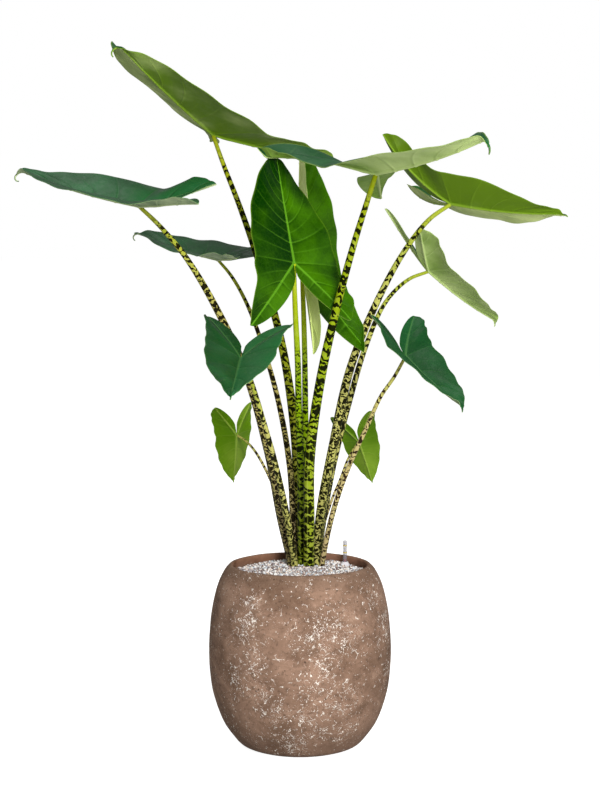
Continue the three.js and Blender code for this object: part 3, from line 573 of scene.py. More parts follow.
def makeBlade(name, leaf):
    sheet = bladeSheet(leaf)
    places, t, v, phase, faces = (sheet[key] for key in ("places", "t", "v", "phase", "faces"))
    normals = vertexNormals(places, faces)
    stemShare = leafForm["stemShare"]
    size = math.sqrt(leaf["length"] / 300)
    # the main ribs taper from the stem to the apex and to the lobes' tips
    ribHeight = leafForm["midrib"] * size * (1 - 0.7 * np.abs(t - stemShare) / stemShare)
    across = sheet["fromRib"] / (ribHeight * leafForm["midribSpread"])
    mainRib = np.sqrt(np.clip(1 - across ** 2, 0, 1))
    # the lateral ribs thin out to the margin
    nearRib = np.minimum(phase, 1 - phase)
    ends = smooth01(t, 0.03, 0.1) * smooth01(1 - t, 0.03, 0.1)
    ribWidth = 0.075 - 0.045 * v
    lateral = (1 - smooth01(nearRib, 0, ribWidth)) * ends * (1 - 0.75 * v)
    lateral[sheet["inner"] > 0] *= 0.5
    quilt = np.sin(np.pi * phase) ** 1.4 * 4 * v * (1 - v) * leafForm["quilting"] * size
    up = leafForm["sheet"] / 2 + quilt + leafForm["midribAbove"] * ribHeight * mainRib
    up -= leafForm["lateralSunk"] * size * lateral
    down = leafForm["sheet"] / 2 - quilt + ribHeight * mainRib + leafForm["lateral"] * size * lateral
    both = np.concatenate([places + normals * up[:, None], places - normals * down[:, None]])
    turn = leafMatrix(leaf)
    both = both @ turn[:3, :3].T + turn[:3, 3]
    count = len(places)
    allFaces = faces + [tuple(c + count for c in reversed(face)) for face in faces]
    allFaces += [(a, a + count, b + count, b) for a, b in openEdges(faces)]
    piece = meshPiece(f"leaf_{name}", both, allFaces, (f"blade_{name}",))
    # what the finish reads: ribs, rib lines and margin, a line of painted shade along one side of each
    # lateral rib, thinner veins half way between those ribs, and a tone for each half, partly painted light and
    # shade
    line = (1 - smooth01(nearRib, 0.1 * ribWidth, 0.7 * ribWidth)) * ends * (1 - 0.7 * v)
    ribSideShadow = smooth01(phase, 0.3 * ribWidth, ribWidth) * (1 - smooth01(phase, 1.1 * ribWidth, 2.4 * ribWidth))
    left = sheet["flat"][:, 1] >= 0
    body, lobes = (np.where(left, *leaf[key]) for key in ("tone", "lobeShadeAndTone"))
    reads = {
        "leafRibs": np.stack([1 - smooth01(across, 0.55, 1.05), line, smooth01(v, 0.972, 0.992)], axis=-1),
        "ribShadeLine": ribSideShadow * ends * (1 - 0.7 * v),
        "halfWay": np.stack([phase, ends * (1 - v) ** 0.7 * smooth01(v, 0.0, 0.05), np.zeros_like(v)], axis=-1),
        "halfShadeAndTone": body + (lobes - body) * smooth01(t, 0.5, 0.78),
    }
    for key, values in reads.items():
        giveValues(piece, key, np.concatenate([values, values]))
    flat = sheet["flat"] * 0.01
    giveValues(piece, "leafPlace", np.concatenate([flat, flat + [0, 0, 1]]))
    giveValues(piece, "underside", np.repeat([0.0, 1.0], count))
    return piece


# ---- stems

stemForm = {"rings": 170, "sides": 40, "ends": 2.0, "full": 0.94, "foot": 306.3, "gravel": 328.5}
crown = (9, 60)     # middle of the clump of stems


def stemLine(leaf, shares):
    # a smooth line through the route, and its direction, at equal steps of its length
    points = [leaf["at"], *leaf["route"], (*leaf["base"], stemForm["gravel"]), (*leaf["base"], stemForm["foot"])]
    points = [np.array(p, float) for p in points]
    points = [2 * points[0] - points[1], *points, 2 * points[-1] - points[-2]]
    line = []
    for i in range(1, len(points) - 2):
        a, b, c, d = points[i - 1:i + 3]
        ab, bc, cd = (math.sqrt(np.linalg.norm(q - p)) for p, q in ((a, b), (b, c), (c, d)))
        start = ((b - a) / ab - (c - a) / (ab + bc) + (c - b) / bc) * bc
        end = ((c - b) / bc - (d - b) / (bc + cd) + (d - c) / cd) * bc
        line += [bent(b, c, start, end, k / 40) for k in range(40)]
    where, total = spacedAlong(line + [points[-2]], shares)
    direction = np.gradient(where, axis=0)
    direction /= np.linalg.norm(direction, axis=1, keepdims=True)
    return where, direction, total


def makeStem(name, leaf):
    rings, sides = stemForm["rings"], stemForm["sides"]
    total = stemLine(leaf, np.array([0, 1]))[2]
    shares = np.linspace(stemForm["ends"] / total, 1, rings)
    where, direction, total = stemLine(leaf, shares)
    top, base = leaf["stem"]
    radius = (top + (base - top) * np.sin(np.pi / 2 * np.minimum(shares / stemForm["full"], 1)))[:, None]
    across = np.cross([0, 1, 0], direction)
    across /= np.linalg.norm(across, axis=1, keepdims=True)
    up = np.cross(direction, across)
    angle = np.linspace(0, 2 * np.pi, sides, endpoint=False)
    # the low part of a stem is a sheath: its two edges meet in a line that faces the crown's middle
    toCrown = np.array(crown, float) - leaf["base"]
    faces = math.atan2(-toCrown[1], toCrown[0]) if np.linalg.norm(toCrown) > 1 else 0.0
    turn = (angle - faces + np.pi) % (2 * np.pi) - np.pi
    low = smooth01(shares, 0.5, 0.75)[:, None]
    spreadOut = 0.1 + 0.5 * low
    lip = np.exp(-((np.abs(turn) - spreadOut) / 0.11) ** 2) * low
    body = radius + 0.5 * lip - 0.35 * low * np.exp(-(turn / (0.8 * spreadOut)) ** 2)
    cos, sin = np.cos(angle), np.sin(angle)
    places = where[:, None, :] + body[:, :, None] * (
        cos[None, :, None] * across[:, None, :] + sin[None, :, None] * up[:, None, :])
    places = np.concatenate([places.reshape(-1, 3), where[:1], where[-1:]])
    first = rings * sides
    numbers = np.arange(first).reshape(rings, sides).tolist()
    allFaces = [face[::-1] for face in ringFaces([[first] * sides, *numbers, [first + 1] * sides])]
    piece = meshPiece(f"stalk_{name}", places, allFaces, (f"stem_{name}",))
    # what the finish reads, with a value for the middle of each end last
    along = np.repeat(shares[:, None] * total, sides, axis=1)
    coords = np.stack([cos * radius, sin * radius, along], axis=-1).reshape(-1, 3)
    coords = np.concatenate([coords, [[0, 0, along[0, 0]], [0, 0, along[-1, 0]]]]) * 0.1
    giveValues(piece, "stemPlace", coords)
    giveValues(piece, "stemShare", np.append(np.repeat(shares, sides), shares[[0, -1]]))
    giveValues(piece, "sheathLip", np.append(lip, [0, 0]))
    return piece


# ---- leaf finishes

bladeLooks = {
    # upper face, partly painted light; its darker parts, partly painted shade; ribs; underside, partly painted
    # light; its deeper parts, partly painted shade; ribs, network; rim of the blade
    "bright": dict(upper=(66, 118, 2), deepAndShaded=(4, 42, 0), rib=(92, 150, 30), ribs=0.34,
                   under=(228, 242, 158), underDeepAndShaded=(170, 198, 66), underRib=(230, 240, 160),
                   rim=(138, 184, 40), rimShare=0.2, gloss=0.28, shine=0.1, net=0.25),
    "dark": dict(upper=(28, 92, 46), deepAndShaded=(4, 52, 16), rib=(78, 126, 66), ribs=0.12,
                 under=(198, 214, 164), underDeepAndShaded=(78, 114, 70), underRib=(200, 214, 154),
                 rim=(96, 150, 70), rimShare=0.22, gloss=0.34, shine=0.3, net=0.2),
    "mid": dict(upper=(30, 88, 34), deepAndShaded=(10, 62, 14), rib=(96, 138, 50), ribs=0.16,
                under=(214, 230, 152), underDeepAndShaded=(92, 124, 20), underRib=(136, 168, 52),
                rim=(140, 174, 52), rimShare=0.4, gloss=0.36, shine=0.12, net=0.35),
    "pale": dict(upper=(34, 96, 50), deepAndShaded=(12, 70, 28), rib=(98, 140, 76), ribs=0.16,
                 under=(204, 224, 148), underDeepAndShaded=(116, 152, 50), underRib=(204, 222, 148),
                 rim=(166, 192, 92), rimShare=0.4, gloss=0.36, shine=0.18, net=0.3),
    "young": dict(upper=(44, 102, 12), deepAndShaded=(18, 74, 2), rib=(116, 154, 46), ribs=0.2,
                  under=(140, 168, 56), underDeepAndShaded=(80, 120, 2), underRib=(150, 178, 70),
                  rim=(150, 182, 50), rimShare=0.4, gloss=0.3, shine=0.14, net=0.2),
}


def leafMaterial(name, look):
    mat = Finish(name)
    place = mat.value("leafPlace", "Vector")
    mainRib, lateral, rim = mat.parts(mat.value("leafRibs", "Vector"))
    under, tone, ribShadeLine = (mat.value(name) for name in ("underside", "halfShadeAndTone", "ribShadeLine"))
    phase, strength, _ = mat.parts(mat.value("halfWay", "Vector"))
    halfWay = mat.between(mat.sums("ABSOLUTE", mat.sums("SUBTRACT", phase, 0.5)), 0.012, 0.04, 0.6, 0.0)
    lateral = mat.sums("MAXIMUM", lateral, mat.times(halfWay, strength))
    clouds = mat.noise(place, 1.3, 3.0, 0.5)
    mottle = mat.noise(place, 9.0, 4.0, 0.6, 0.4)
    # the fine net of veins: cell edges, finer near the ribs
    warped = mat.blend(0.06, place, mat.noise(place, 6.0, 2.0, 0.5, output=1))
    net = mat.between(mat.cells(warped, 13.0), 0.0, 0.09, 1.0, 0.0)
    fineNet = mat.between(mat.cells(warped, 34.0), 0.0, 0.12, 1.0, 0.0)
    # each half has a tone of its own, partly painted light and shade, with clouds over it
    spots = mat.plus(mat.times(clouds, 1.3), mottle, 0.12)
    shade = mat.between(mat.plus(tone, mat.sums("SUBTRACT", spots, 0.71)), 0.0, 1.0)
    # upper face, from its deep colour, partly painted shade, to its light colour, partly painted light
    upper = mat.blend(shade, look["deepAndShaded"], look["upper"])
    # the line along one side of each lateral rib is painted shade
    for part, share, tint in ((net, 0.05, "rib"), (ribShadeLine, 0.5, "deepAndShaded"), (lateral, look["ribs"], "rib"),
                              (mainRib, 0.25 + 1.5 * look["ribs"], "rib")):
        upper = mat.blend(mat.times(part, share), upper, look[tint])
    # underside, from its deep colour, partly painted shade, to its pale colour, partly painted light and
    # reflection
    lower = mat.blend(shade, look["underDeepAndShaded"], look["under"])
    # the line along one side of each lateral rib is painted shade here too
    for part, share, tint in ((net, look["net"] * 0.3, "underDeepAndShaded"), (ribShadeLine, 0.35, "underDeepAndShaded"),
                              (lateral, 0.2, "underRib"), (mainRib, 0.65, "underRib")):
        lower = mat.blend(mat.times(part, share), lower, look[tint])
    colour = mat.blend(under, upper, lower)
    colour = mat.blend(mat.times(rim, look["rimShare"]), colour, look["rim"])
    rough = mat.between(mottle, 0.3, 0.7, look["gloss"] - 0.05, look["gloss"] + 0.1)
    rough = mat.plus(rough, under, 0.16)
    # relief: a pebbled skin between the veins, the net sunk above and raised below
    skin = mat.plus(mat.times(mottle, 0.5), net, -0.4)
    fine = mat.plus(skin, fineNet, -0.1)
    fine = mat.times(fine, mat.between(under, 0.0, 1.0, 1.0, 0.4))
    return mat.done(colour, rough, mat.bump(fine, 0.22, 0.0006), look["shine"])


# ---- stem finishes

stemLooks = {
    # ground: colour at the top, further down and at the foot. marks: their colour. size: how long the marks
    # are along the stem in millimetres, high and low. rows: how far apart they follow each other, high and
    # low. even: how well they keep to those rows. narrow: less is wider. cover: how much they take up.
    "bold": dict(top=(140, 148, 20), ground=(136, 144, 26), foot=(150, 148, 66),
                 marks=(3, 5, 0), size=(12, 9), rows=(14, 9.5), even=(0.1, 0.09), narrow=(0.55, 0.5),
                 cover=(0.47, 0.52), start=0.02),
    "bright": dict(top=(132, 144, 14), ground=(128, 148, 14), foot=(140, 154, 40),
                   marks=(3, 5, 0), size=(13, 9.5), rows=(14, 10), even=(0.1, 0.1), narrow=(0.55, 0.42),
                   cover=(0.5, 0.56), start=0.03),
    "olive": dict(top=(150, 158, 44), ground=(164, 152, 86), foot=(174, 156, 112),
                  marks=(12, 7, 2), size=(11, 7), rows=(13, 6.5), even=(0.09, 0.05), narrow=(0.6, 0.6),
                  cover=(0.48, 0.62), start=0.02),
    "lime": dict(top=(150, 164, 14), ground=(118, 148, 2), foot=(138, 156, 34),
                 marks=(4, 12, 0), size=(6, 9), rows=(7.5, 10), even=(0.12, 0.11), narrow=(0.5, 0.36),
                 cover=(0.14, 0.6), start=0.24),
    "khaki": dict(top=(150, 162, 44), ground=(176, 172, 96), foot=(164, 160, 88),
                  marks=(7, 7, 1), size=(13, 7), rows=(13, 7), even=(0.09, 0.05), narrow=(0.7, 0.6),
                  cover=(0.46, 0.62), start=0.04),
    "tan": dict(top=(168, 166, 82), ground=(182, 166, 112), foot=(178, 158, 114),
                marks=(34, 18, 12), size=(10, 8), rows=(12, 9), even=(0.09, 0.07), narrow=(0.6, 0.6),
                cover=(0.4, 0.5), start=0.02),
}


def stemMaterial(name, look, seed):
    mat = Finish(name)
    place = mat.value("stemPlace", "Vector")
    share = mat.value("stemShare")
    lip = mat.value("sheathLip")
    # stemPlace is in centimetres; the marks lie in wavy rows across the stem
    acrossX, acrossY, along = mat.parts(place)
    sway = mat.noise(mat.scaled(place, (1.0, 1.0, 0.6), (seed * 2.3, 0, 0)), 1.1, 1.0, 0.5)
    along = mat.plus(along, sway, 1.9)
    along = mat.plus(along, acrossX, 0.15)
    slanted = mat.node("ShaderNodeCombineXYZ", {0: acrossX, 1: acrossY, 2: along})
    patterns = []
    highAndLow = zip(*(look[key] for key in ("size", "rows", "even", "narrow")))
    for order, (size, gap, even, narrow) in enumerate(highAndLow):
        grain = 10.0 / size
        bars = mat.scaled(slanted, (narrow * grain, narrow * grain, grain), (seed * 3.1, seed * 1.7, order * 7.0))
        spots = mat.noise(bars, 1.9, 1.0, 0.5, 0.3)
        rows = mat.sums("SINE", mat.times(along, 20.0 * math.pi / gap))
        patterns.append(mat.plus(spots, rows, even))
    low = mat.between(share, 0.2, 0.8)
    pattern = mat.blend(low, *patterns)
    high, foot = (0.5 + (0.5 - c) * 0.3 for c in look["cover"])
    level = mat.between(share, 0.05, 0.75, high, foot)
    marks = mat.between(mat.sums("SUBTRACT", pattern, level), -0.008, 0.008)
    marks = mat.times(marks, mat.between(share, look["start"], look["start"] + 0.06))
    ground = mat.blend(mat.between(share, 0.05, 0.4), look["top"], look["ground"])
    ground = mat.blend(mat.between(share, 0.6, 0.95), ground, look["foot"])
    cloud = mat.noise(place, 1.2, 3.0, 0.5)
    ground = mat.blend(mat.between(cloud, 0.4, 0.75, 0.0, 0.2), ground, (184, 186, 104))
    ground = mat.blend(mat.times(lip, 0.4), ground, (180, 190, 90))
    colour = mat.blend(mat.times(marks, mat.between(lip, 0.2, 0.9, 0.98, 0.7)), ground, look["marks"])
    rough = mat.between(cloud, 0.3, 0.7, 0.36, 0.5)
    fibres = mat.noise(mat.scaled(place, (9.0, 9.0, 0.7)), 2.2, 3.0, 0.6)
    height = mat.plus(mat.times(fibres, 0.6), marks, -0.25)
    return mat.done(colour, rough, mat.bump(height, 0.3, 0.0004), specular=0.06)


leafMaterials = {look: leafMaterial(f"leaf_{look}", bladeLooks[look]) for look in bladeLooks}
for order, (name, leaf) in enumerate(leaves.items()):
    dress(makeBlade(name, leaf), leafMaterials[leaf["look"]])
    dress(makeStem(name, leaf), stemMaterial(f"stem_{name}", stemLooks[leaf["bark"]], order))
print("twelve leaves on their stems")


# ---- planter

pot = {
    "sides": 256,
    "rings": 230,
    "wall": [(92, 0), (111, 8), (128, 27), (143, 50), (156, 84), (165, 124), (168.5, 178), (165.5, 234),
             (159.5, 272), (151, 304), (140, 327), (133, 336), (129, 339.5), (126, 340), (123.5, 338),
             (124, 330), (131, 312), (143, 284), (150, 246), (154, 178), (150, 120), (138, 70), (112, 30)],
    "floor": 18,
    "uneven": 0.7,      # how far the hand-trowelled wall strays
    "flecks": [(58, 150, 258, 60), (20, 165, 236, 60), (84, 140, 226, 50), (50, 160, 186, 60), (24, 168, 150, 60),
               (70, 145, 122, 66), (20, 150, 82, 70), (140, 80, 296, 50), (158, 60, 230, 56), (160, 50, 150, 40),
               (-98, 135, 250, 56), (-84, 145, 190, 56), (-112, 120, 150, 46), (-60, 155, 110, 50),
               (-10, 140, 40, 70), (80, 120, 50, 50), (-90, 130, 290, 40), (150, -10, 90, 50), (-160, 20, 170, 40),
               (-150, -60, 240, 56), (-120, -110, 150, 60), (-60, -150, 250, 60), (-30, -160, 170, 60),
               (40, -150, 220, 56), (70, -140, 110, 66), (110, -110, 260, 50), (150, -60, 180, 56),
               (0, -140, 70, 66), (-90, -120, 60, 50)],
}


def smoothProfile(points, count):
    # a rounded line through the points, evenly spread along it
    points = np.array(points, float)
    padded = np.concatenate([points[:1], points, points[-1:]])
    line = []
    for i in range(len(points) - 1):
        a, b, c, d = padded[i:i + 4]
        line += [bent(b, c, (c - a) / 2, (d - b) / 2, k / 24) for k in range(24)]
    return spacedAlong(line + [points[-1]], np.linspace(0, 1, count))[0]


def turnedPiece(name, profile, sides, at, replaces=(), body="planter", closed=False):
    # a turned piece about an upright axis; the profile runs from axis to axis, or round to its start
    angle = np.linspace(0, 2 * np.pi, sides, endpoint=False)
    places, rings = [], []
    for radius, height in profile:
        first = len(places)
        if radius < 1e-6:
            places.append((*at, height))
            rings.append([first] * sides)
        else:
            places += [(at[0] + radius * math.cos(a), at[1] + radius * math.sin(a), height) for a in angle]
            rings.append(list(range(first, first + sides)))
    return meshPiece(name, places, ringFaces(rings, closed), replaces, body)


def makePot():
    wall = smoothProfile(pot["wall"], pot["rings"])
    profile = [(0, 0), (46, 0), *wall, (60, pot["floor"]), (0, pot["floor"])]
    piece = turnedPiece("planter_shell", profile, pot["sides"], (0, 0), ("pot",))
    # trowelled by hand: the wall wanders a little, with shallow dents and pits
    mesh = piece.data
    places, normals = vectorsOf(mesh, "co") / mm, vectorsOf(mesh, "normal")
    for i, (x, y, z) in enumerate(places):
        if z < 1.5 or math.hypot(x, y) < 120 and z < 300:
            continue
        wide = noise.noise((x / 46, y / 46, z / 38))
        strokes = noise.noise((x / 20 + 40, y / 20, z / 6))
        dent = noise.noise((x / 9, y / 9 + 20, z / 8))
        depth = 0.6 * wide + 0.22 * strokes - 0.55 * max(dent - 0.42, 0) * 3
        places[i] += normals[i] * pot["uneven"] * depth * smooth01(z, 1.5, 12)
    mesh.vertices.foreach_set("co", (places * mm).ravel())
    mesh.update()
    # where the white flecks crowd together
    crowd = np.zeros(len(places))
    for x, y, z, reach in pot["flecks"]:
        away = np.linalg.norm(places - np.array([x, -y, z]), axis=1)
        crowd = np.maximum(crowd, 1 - smooth01(away, 0.15 * reach, reach))
    giveValues(piece, "fleckCrowd", crowd)
    radius = np.hypot(places[:, 0], places[:, 1])
    giveValues(piece, "potInside", np.where(places[:, 2] > 300, 1 - smooth01(radius, 124.8, 126.6), 0.0))
    return piece


def potMaterial():
    mat = Finish("trowelled_mineral_coat")
    place = mat.place()
    crowd, inside = mat.value("fleckCrowd"), mat.value("potInside")
    clouds = mat.noise(place, 9.0, 5.0, 0.6, 0.3)
    patches = mat.noise(mat.scaled(place, (1, 1, 1.4)), 26.0, 5.0, 0.65, 0.5)
    grain = mat.noise(place, 420.0, 3.0, 0.6)
    sand = mat.noise(place, 150.0, 4.0, 0.7)
    tone = mat.plus(mat.times(clouds, 0.5), patches, 0.5)
    colour = mat.blend(mat.between(tone, 0.34, 0.64), (105, 81, 65), (152, 122, 103))
    colour = mat.blend(mat.between(patches, 0.56, 0.74, 0.0, 0.4), colour, (176, 148, 128))
    colour = mat.blend(mat.between(sand, 0.36, 0.46, 0.5, 0.0), colour, (76, 58, 47))
    colour = mat.blend(mat.between(grain, 0.58, 0.7, 0.0, 0.25), colour, (194, 170, 152))
    # the rim is darker, painted shade, and the foot is a little darker too, painted shade as well
    height = mat.parts(place)[2]
    wearAndShade = mat.plus(height, patches, 0.03)
    colour = mat.blend(mat.between(wearAndShade, 0.325, 0.35, 0.0, 0.4), colour, (96, 76, 62))
    colour = mat.blend(mat.between(height, 0.0, 0.16, 0.4, 0.0), colour, (100, 78, 63))
    # dark pits
    pits = mat.between(mat.cells(place, 95.0, "F1"), 0.1, 0.2, 1.0, 0.0)
    pits = mat.times(pits, mat.between(mat.noise(place, 30.0, 2.0), 0.56, 0.64))
    colour = mat.blend(mat.times(pits, 0.75), colour, (56, 43, 35))
    # white mineral flecks: ragged specks and short bent scratches that crowd together
    ragged = mat.noise(place, 300.0, 2.5, 0.65, 1.2)
    lumps = mat.noise(place, 34.0, 3.0, 0.6, 0.8)
    level = mat.plus(mat.times(lumps, 0.42), crowd, 0.085)
    specks = mat.between(mat.plus(ragged, level), 0.908, 0.93)
    bends = mat.blend(0.02, place, mat.noise(place, 40.0, 3.0, 0.6, output=1))
    lines = mat.between(mat.cells(bends, 84.0), 0.015, 0.045, 1.0, 0.0)
    lineLevel = mat.plus(mat.noise(place, 120.0, 2.0, 0.6, 0.5), mat.times(crowd, 0.08))
    scratches = mat.times(lines, mat.between(lineLevel, 0.6, 0.67))
    flecks = mat.sums("MAXIMUM", specks, scratches)
    colour = mat.blend(mat.times(flecks, 0.94), colour, (246, 238, 228))
    # the bare inside is redder
    bare = mat.blend(mat.between(tone, 0.36, 0.62), (104, 72, 54), (140, 104, 84))
    colour = mat.blend(inside, colour, bare)
    rough = mat.between(patches, 0.3, 0.7, 0.78, 0.95)
    relief = mat.times(sand, 0.5)
    for part, share in ((patches, 0.8), (flecks, 0.35), (pits, -0.9)):
        relief = mat.plus(relief, part, share)
    relief = mat.bump(relief, 0.7, 0.0016)
    return mat.done(colour, rough, mat.bump(grain, 0.25, 0.0004, relief), specular=0.2)


dress(makePot(), potMaterial())
print("planter")


# ---- gravel

bed = {
    "top": 322.5,
    "radius": 124.0,
    "heap": (6.0, 35.0, 110.0, 9.0, 60.0),   # height, full within, none beyond, middle x and y
    "bump": 1.3,
    "grains": 5200,
    "size": (1.35, 2.7),       # half sizes of a grain
    "gauge": 10.4,             # grains keep this far from the gauge's middle
    "stems": 326,              # and clear of the stems, as they are at this height
    "seed": 7,
}
gauge = {"x": 84.5, "y": 72.0}


def bedHeight(x, y):
    heap, near, far, cx, cy = bed["heap"]
    mound = heap * (1 - smooth01(math.hypot(x - cx, y - cy), near, far))
    bumps = math.sin(x * 0.71 + 1.3 * math.sin(y * 0.37)) * math.sin(y * 0.63 + 1.1 * math.sin(x * 0.29))
    return bed["top"] + mound + bed["bump"] * bumps


def makeGravel():
    draw = random.Random(bed["seed"])
    golden = (1 + math.sqrt(5)) / 2
    corners = [np.roll((near, far, 0), k) for k in range(3) for far in (golden, -golden) for near in (-1, 1)]
    corners = np.array(corners) / math.sqrt(1 + golden ** 2)
    sides = [(0, 11, 5), (0, 5, 1), (0, 1, 7), (0, 7, 10), (0, 10, 11), (1, 5, 9), (5, 11, 4), (11, 10, 2),
             (10, 7, 6), (7, 1, 8), (3, 9, 4), (3, 4, 2), (3, 2, 6), (3, 6, 8), (3, 8, 9), (4, 9, 5),
             (2, 4, 11), (6, 2, 10), (8, 6, 7), (9, 8, 1)]
    # where the gauge and the stems stand
    kept = [(gauge["x"], gauge["y"], bed["gauge"])]
    for leaf in leaves.values():
        where = stemLine(leaf, np.linspace(0.9, 1, 30))[0]
        low = where[np.argmin(np.abs(where[:, 2] - bed["stems"]))]
        kept.append((low[0], low[1], leaf["stem"][1]))
    places, faces, shades = [], [], []
    while len(places) < bed["grains"]:
        reach = (bed["radius"] - 1.0) * math.sqrt(draw.random())
        angle = 2 * math.pi * draw.random()
        x, y = reach * math.cos(angle), reach * math.sin(angle)
        size = draw.uniform(*bed["size"]) * (1.0 if draw.random() < 0.9 else 1.25)
        lift = draw.uniform(-1.4, 0.9)
        roll = draw.uniform(0, 6.28)
        turn = Matrix.Rotation(roll, 3, Vector([draw.gauss(0, 1) for _ in range(3)]).normalized())
        stretch = [draw.uniform(*ends) for ends in ((0.75, 1.25), (0.6, 1.1), (0.55, 0.95))]
        jolt = [draw.uniform(0.78, 1.16) for _ in corners]
        shade = (draw.random(), draw.random(), 0.0)
        if any(math.hypot(x - cx, y - cy) < radius + 0.6 * size for cx, cy, radius in kept):
            continue
        shape = corners * np.array(jolt)[:, None] * np.array(stretch) * size
        shape = shape @ np.array(turn).T + np.array([x, y, bedHeight(x, y) + lift])
        start = len(places) * 12
        places.append(shape)
        faces += [(start + a, start + b, start + c) for a, b, c in sides]
        shades.append(shade)
    grains = meshPiece("gravel_grains", np.concatenate(places), faces, smooth=False)
    giveValues(grains, "grainShade", np.repeat(np.array(shades), 12, axis=0))
    return grains


def gravelMaterial(name, loose):
    mat = Finish(name)
    place = mat.place()
    fine = mat.noise(place, 700.0, 3.0, 0.6)
    if loose:
        shade, tint, _ = mat.parts(mat.value("grainShade", "Vector"))
    else:
        shade = mat.noise(place, 260.0, 2.0, 0.6)
        tint = mat.noise(place, 190.0, 2.0, 0.6)
    ramp = mat.tree.nodes.new("ShaderNodeValToRGB")
    ramp.color_ramp.interpolation = "CONSTANT" if loose else "LINEAR"
    stops = [(0.0, (240, 238, 236)), (0.32, (200, 210, 220)), (0.46, (226, 208, 196)),
             (0.58, (160, 152, 154)), (0.71, (124, 96, 88)), (0.85, (72, 52, 50)),
             (0.95, (196, 172, 150))]
    for k, (position, colour) in enumerate(stops):
        stop = ramp.color_ramp.elements[k] if k < 2 else ramp.color_ramp.elements.new(position)
        stop.position, stop.color = position, paint(*colour)
    mat.feed(ramp.inputs[0], shade)
    colour = mat.blend(mat.between(tint, 0.0, 1.0, 0.0, 0.16), ramp.outputs[0], (120, 104, 100))
    colour = mat.blend(mat.between(fine, 0.4, 0.7, 0.0, 0.2), colour, (244, 242, 240))
    # the packed gravel under the loose grains is darker: painted shade in the gaps between them
    if not loose:
        colour = mat.blend(0.6, colour, (92, 82, 76))
    return mat.done(colour, 0.75, mat.bump(fine, 0.5, 0.0005))


dress(makeGravel(), gravelMaterial("loose_gravel", True))
print("gravel")


# ---- water gauge

gaugeForm = {
    "sides": 48, "rodSides": 32,
    "foot": 52, "collarFoot": 325, "collarTop": 331, "housing": 9, "collar": 9.8, "bore": 5.2, "neck": 4.3,
    "socket": 8, "tube": 4, "tubeBore": 3, "tubeTop": 371.5, "marks": (348.3, 361.6), "markHeight": 1.7,
    "float": 4.4, "floatHeight": 45, "rod": 1.1, "tip": 1.9, "tipTop": 336,
}


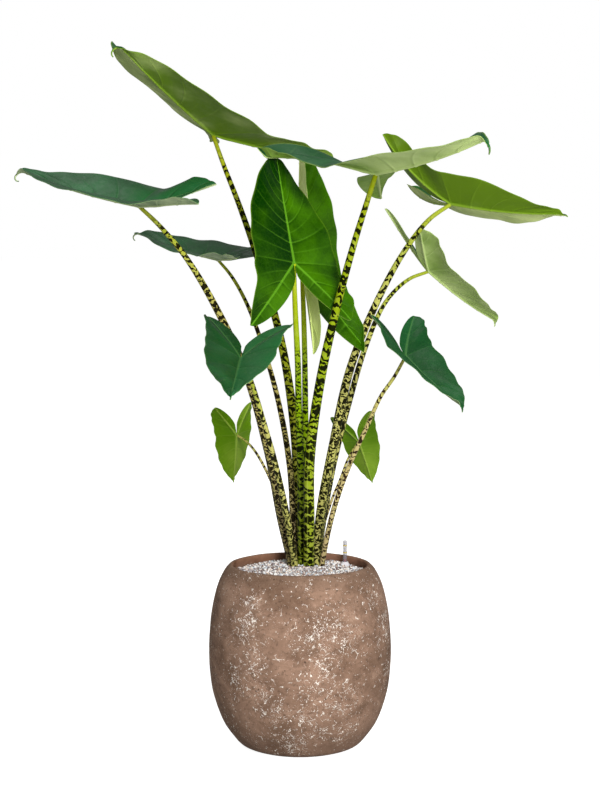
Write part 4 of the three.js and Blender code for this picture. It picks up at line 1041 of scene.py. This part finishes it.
def makeGauge():
    g = gaugeForm
    sides, foot, collarFoot, top, tubeTop, tipTop = (
        g[key] for key in ("sides", "foot", "collarFoot", "collarTop", "tubeTop", "tipTop"))
    housing, collar, bore, neck, tubeWall, hole, bulb, rodWall, tip = (
        g[key] for key in ("housing", "collar", "bore", "neck", "tube", "tubeBore", "float", "rod", "tip"))
    socket, low = top - g["socket"], foot + 2.3
    shoulder = low + g["floatHeight"]
    at = (gauge["x"], gauge["y"])
    shell = turnedPiece("gauge_collar", [
        (0, foot), (housing - 0.6, foot), (housing, foot + 0.6), (housing, collarFoot - 3),
        (collar, collarFoot - 2.2), (collar, collarFoot - 0.2), (collar - 0.5, collarFoot + 0.5),
        (7.6, collarFoot + 2.6), (6.3, top - 0.8), (5.7, top), (neck + 0.3, top), (neck, top - 0.3),
        (neck, socket), (bore, socket - 1.5), (bore, foot + 2), (0, foot + 2)],
        sides, at, ("gauge_housing",))
    tube = turnedPiece("gauge_clear_tube", [
        (hole, socket + 0.3), (tubeWall, socket + 0.3), (tubeWall, tubeTop - 1.2),
        (tubeWall - 0.35, tubeTop - 0.4), (tubeWall - 1.2, tubeTop), (0, tubeTop), (0, tubeTop - 1.5),
        (hole - 0.4, tubeTop - 1.5), (hole, tubeTop - 2)],
        sides, at, ("gauge_tube",), closed=True)
    rod = turnedPiece("gauge_red_float", [
        (0, low), (bulb - 0.5, low), (bulb, low + 0.5), (bulb, shoulder - 1), (rodWall + 0.4, shoulder + 1.2),
        (rodWall, shoulder + 2), (rodWall, tipTop - 4.6), (tip - 0.3, tipTop - 4), (tip, tipTop - 3.4),
        (tip, tipTop - 1), (tip - 0.8, tipTop - 0.2), (0, tipTop)],
        g["rodSides"], at, ("gauge_float",), body="float")
    half, near, far = g["markHeight"] / 2, tubeWall + 0.02, tubeWall + 0.1
    marks = [turnedPiece(f"gauge_mark_{k + 1}", [
        (near, height - half), (far, height - half + 0.06), (far, height + half - 0.06), (near, height + half)],
        sides, at, closed=True) for k, height in enumerate(g["marks"])]
    return shell, tube, rod, marks


def plasticMaterial(name, colour, roughness, wearAndShade, clear=1.0):
    mat = Finish(name)
    place = mat.place()
    clouds = mat.noise(place, 160.0, 3.0, 0.6)
    colour = mat.blend(mat.between(clouds, 0.4, 0.7, 0.0, 0.5), colour, wearAndShade)
    rough = mat.between(clouds, 0.3, 0.7, roughness, roughness + 0.12)
    fine = mat.bump(mat.noise(place, 900.0, 2.0, 0.5), 0.12, 0.0002)
    mat.set("Alpha", clear)
    return mat.done(colour, rough, fine, specular=0.2 if clear < 1.0 else 0.5)


collar, tube, rod, marks = makeGauge()
dress(collar, plasticMaterial("pale_grey_plastic", (214, 210, 214), 0.35, (186, 182, 190)))
dress(tube, plasticMaterial("clear_plastic", (152, 148, 156), 0.3, (140, 136, 146), 0.3))
dress(rod, plasticMaterial("red_plastic", (204, 24, 14), 0.4, (180, 18, 12)))
yellow = plasticMaterial("yellow_print", (214, 190, 104), 0.6, (204, 180, 96))
for mark in marks:
    dress(mark, yellow)
print("water gauge")


# ---- what is inside: the fill under the gravel and the rootstock, shown as they are

def earthMaterial(name, light, dark, scale):
    mat = Finish(name)
    place = mat.place()
    lumps = mat.cells(place, scale, "F1")
    fine = mat.noise(place, scale * 2.5, 4.0, 0.6)
    colour = mat.blend(mat.between(lumps, 0.1, 0.6), light, dark)
    colour = mat.blend(mat.between(fine, 0.4, 0.65, 0.0, 0.5), colour, dark)
    return mat.done(colour, 0.92, mat.bump(mat.sums("SUBTRACT", fine, lumps), 0.6, 0.002))


# the gravel layer under the loose grains, darkened as painted shade in their gaps
dress(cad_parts["gravel"], gravelMaterial("packed_gravel_gap_shade", False))
dress(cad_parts["substrate"], earthMaterial("mineral_fill", (132, 108, 88), (70, 54, 42), 170.0))
dress(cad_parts["rootstock"], earthMaterial("corky_rootstock", (128, 98, 66), (66, 46, 30), 90.0))
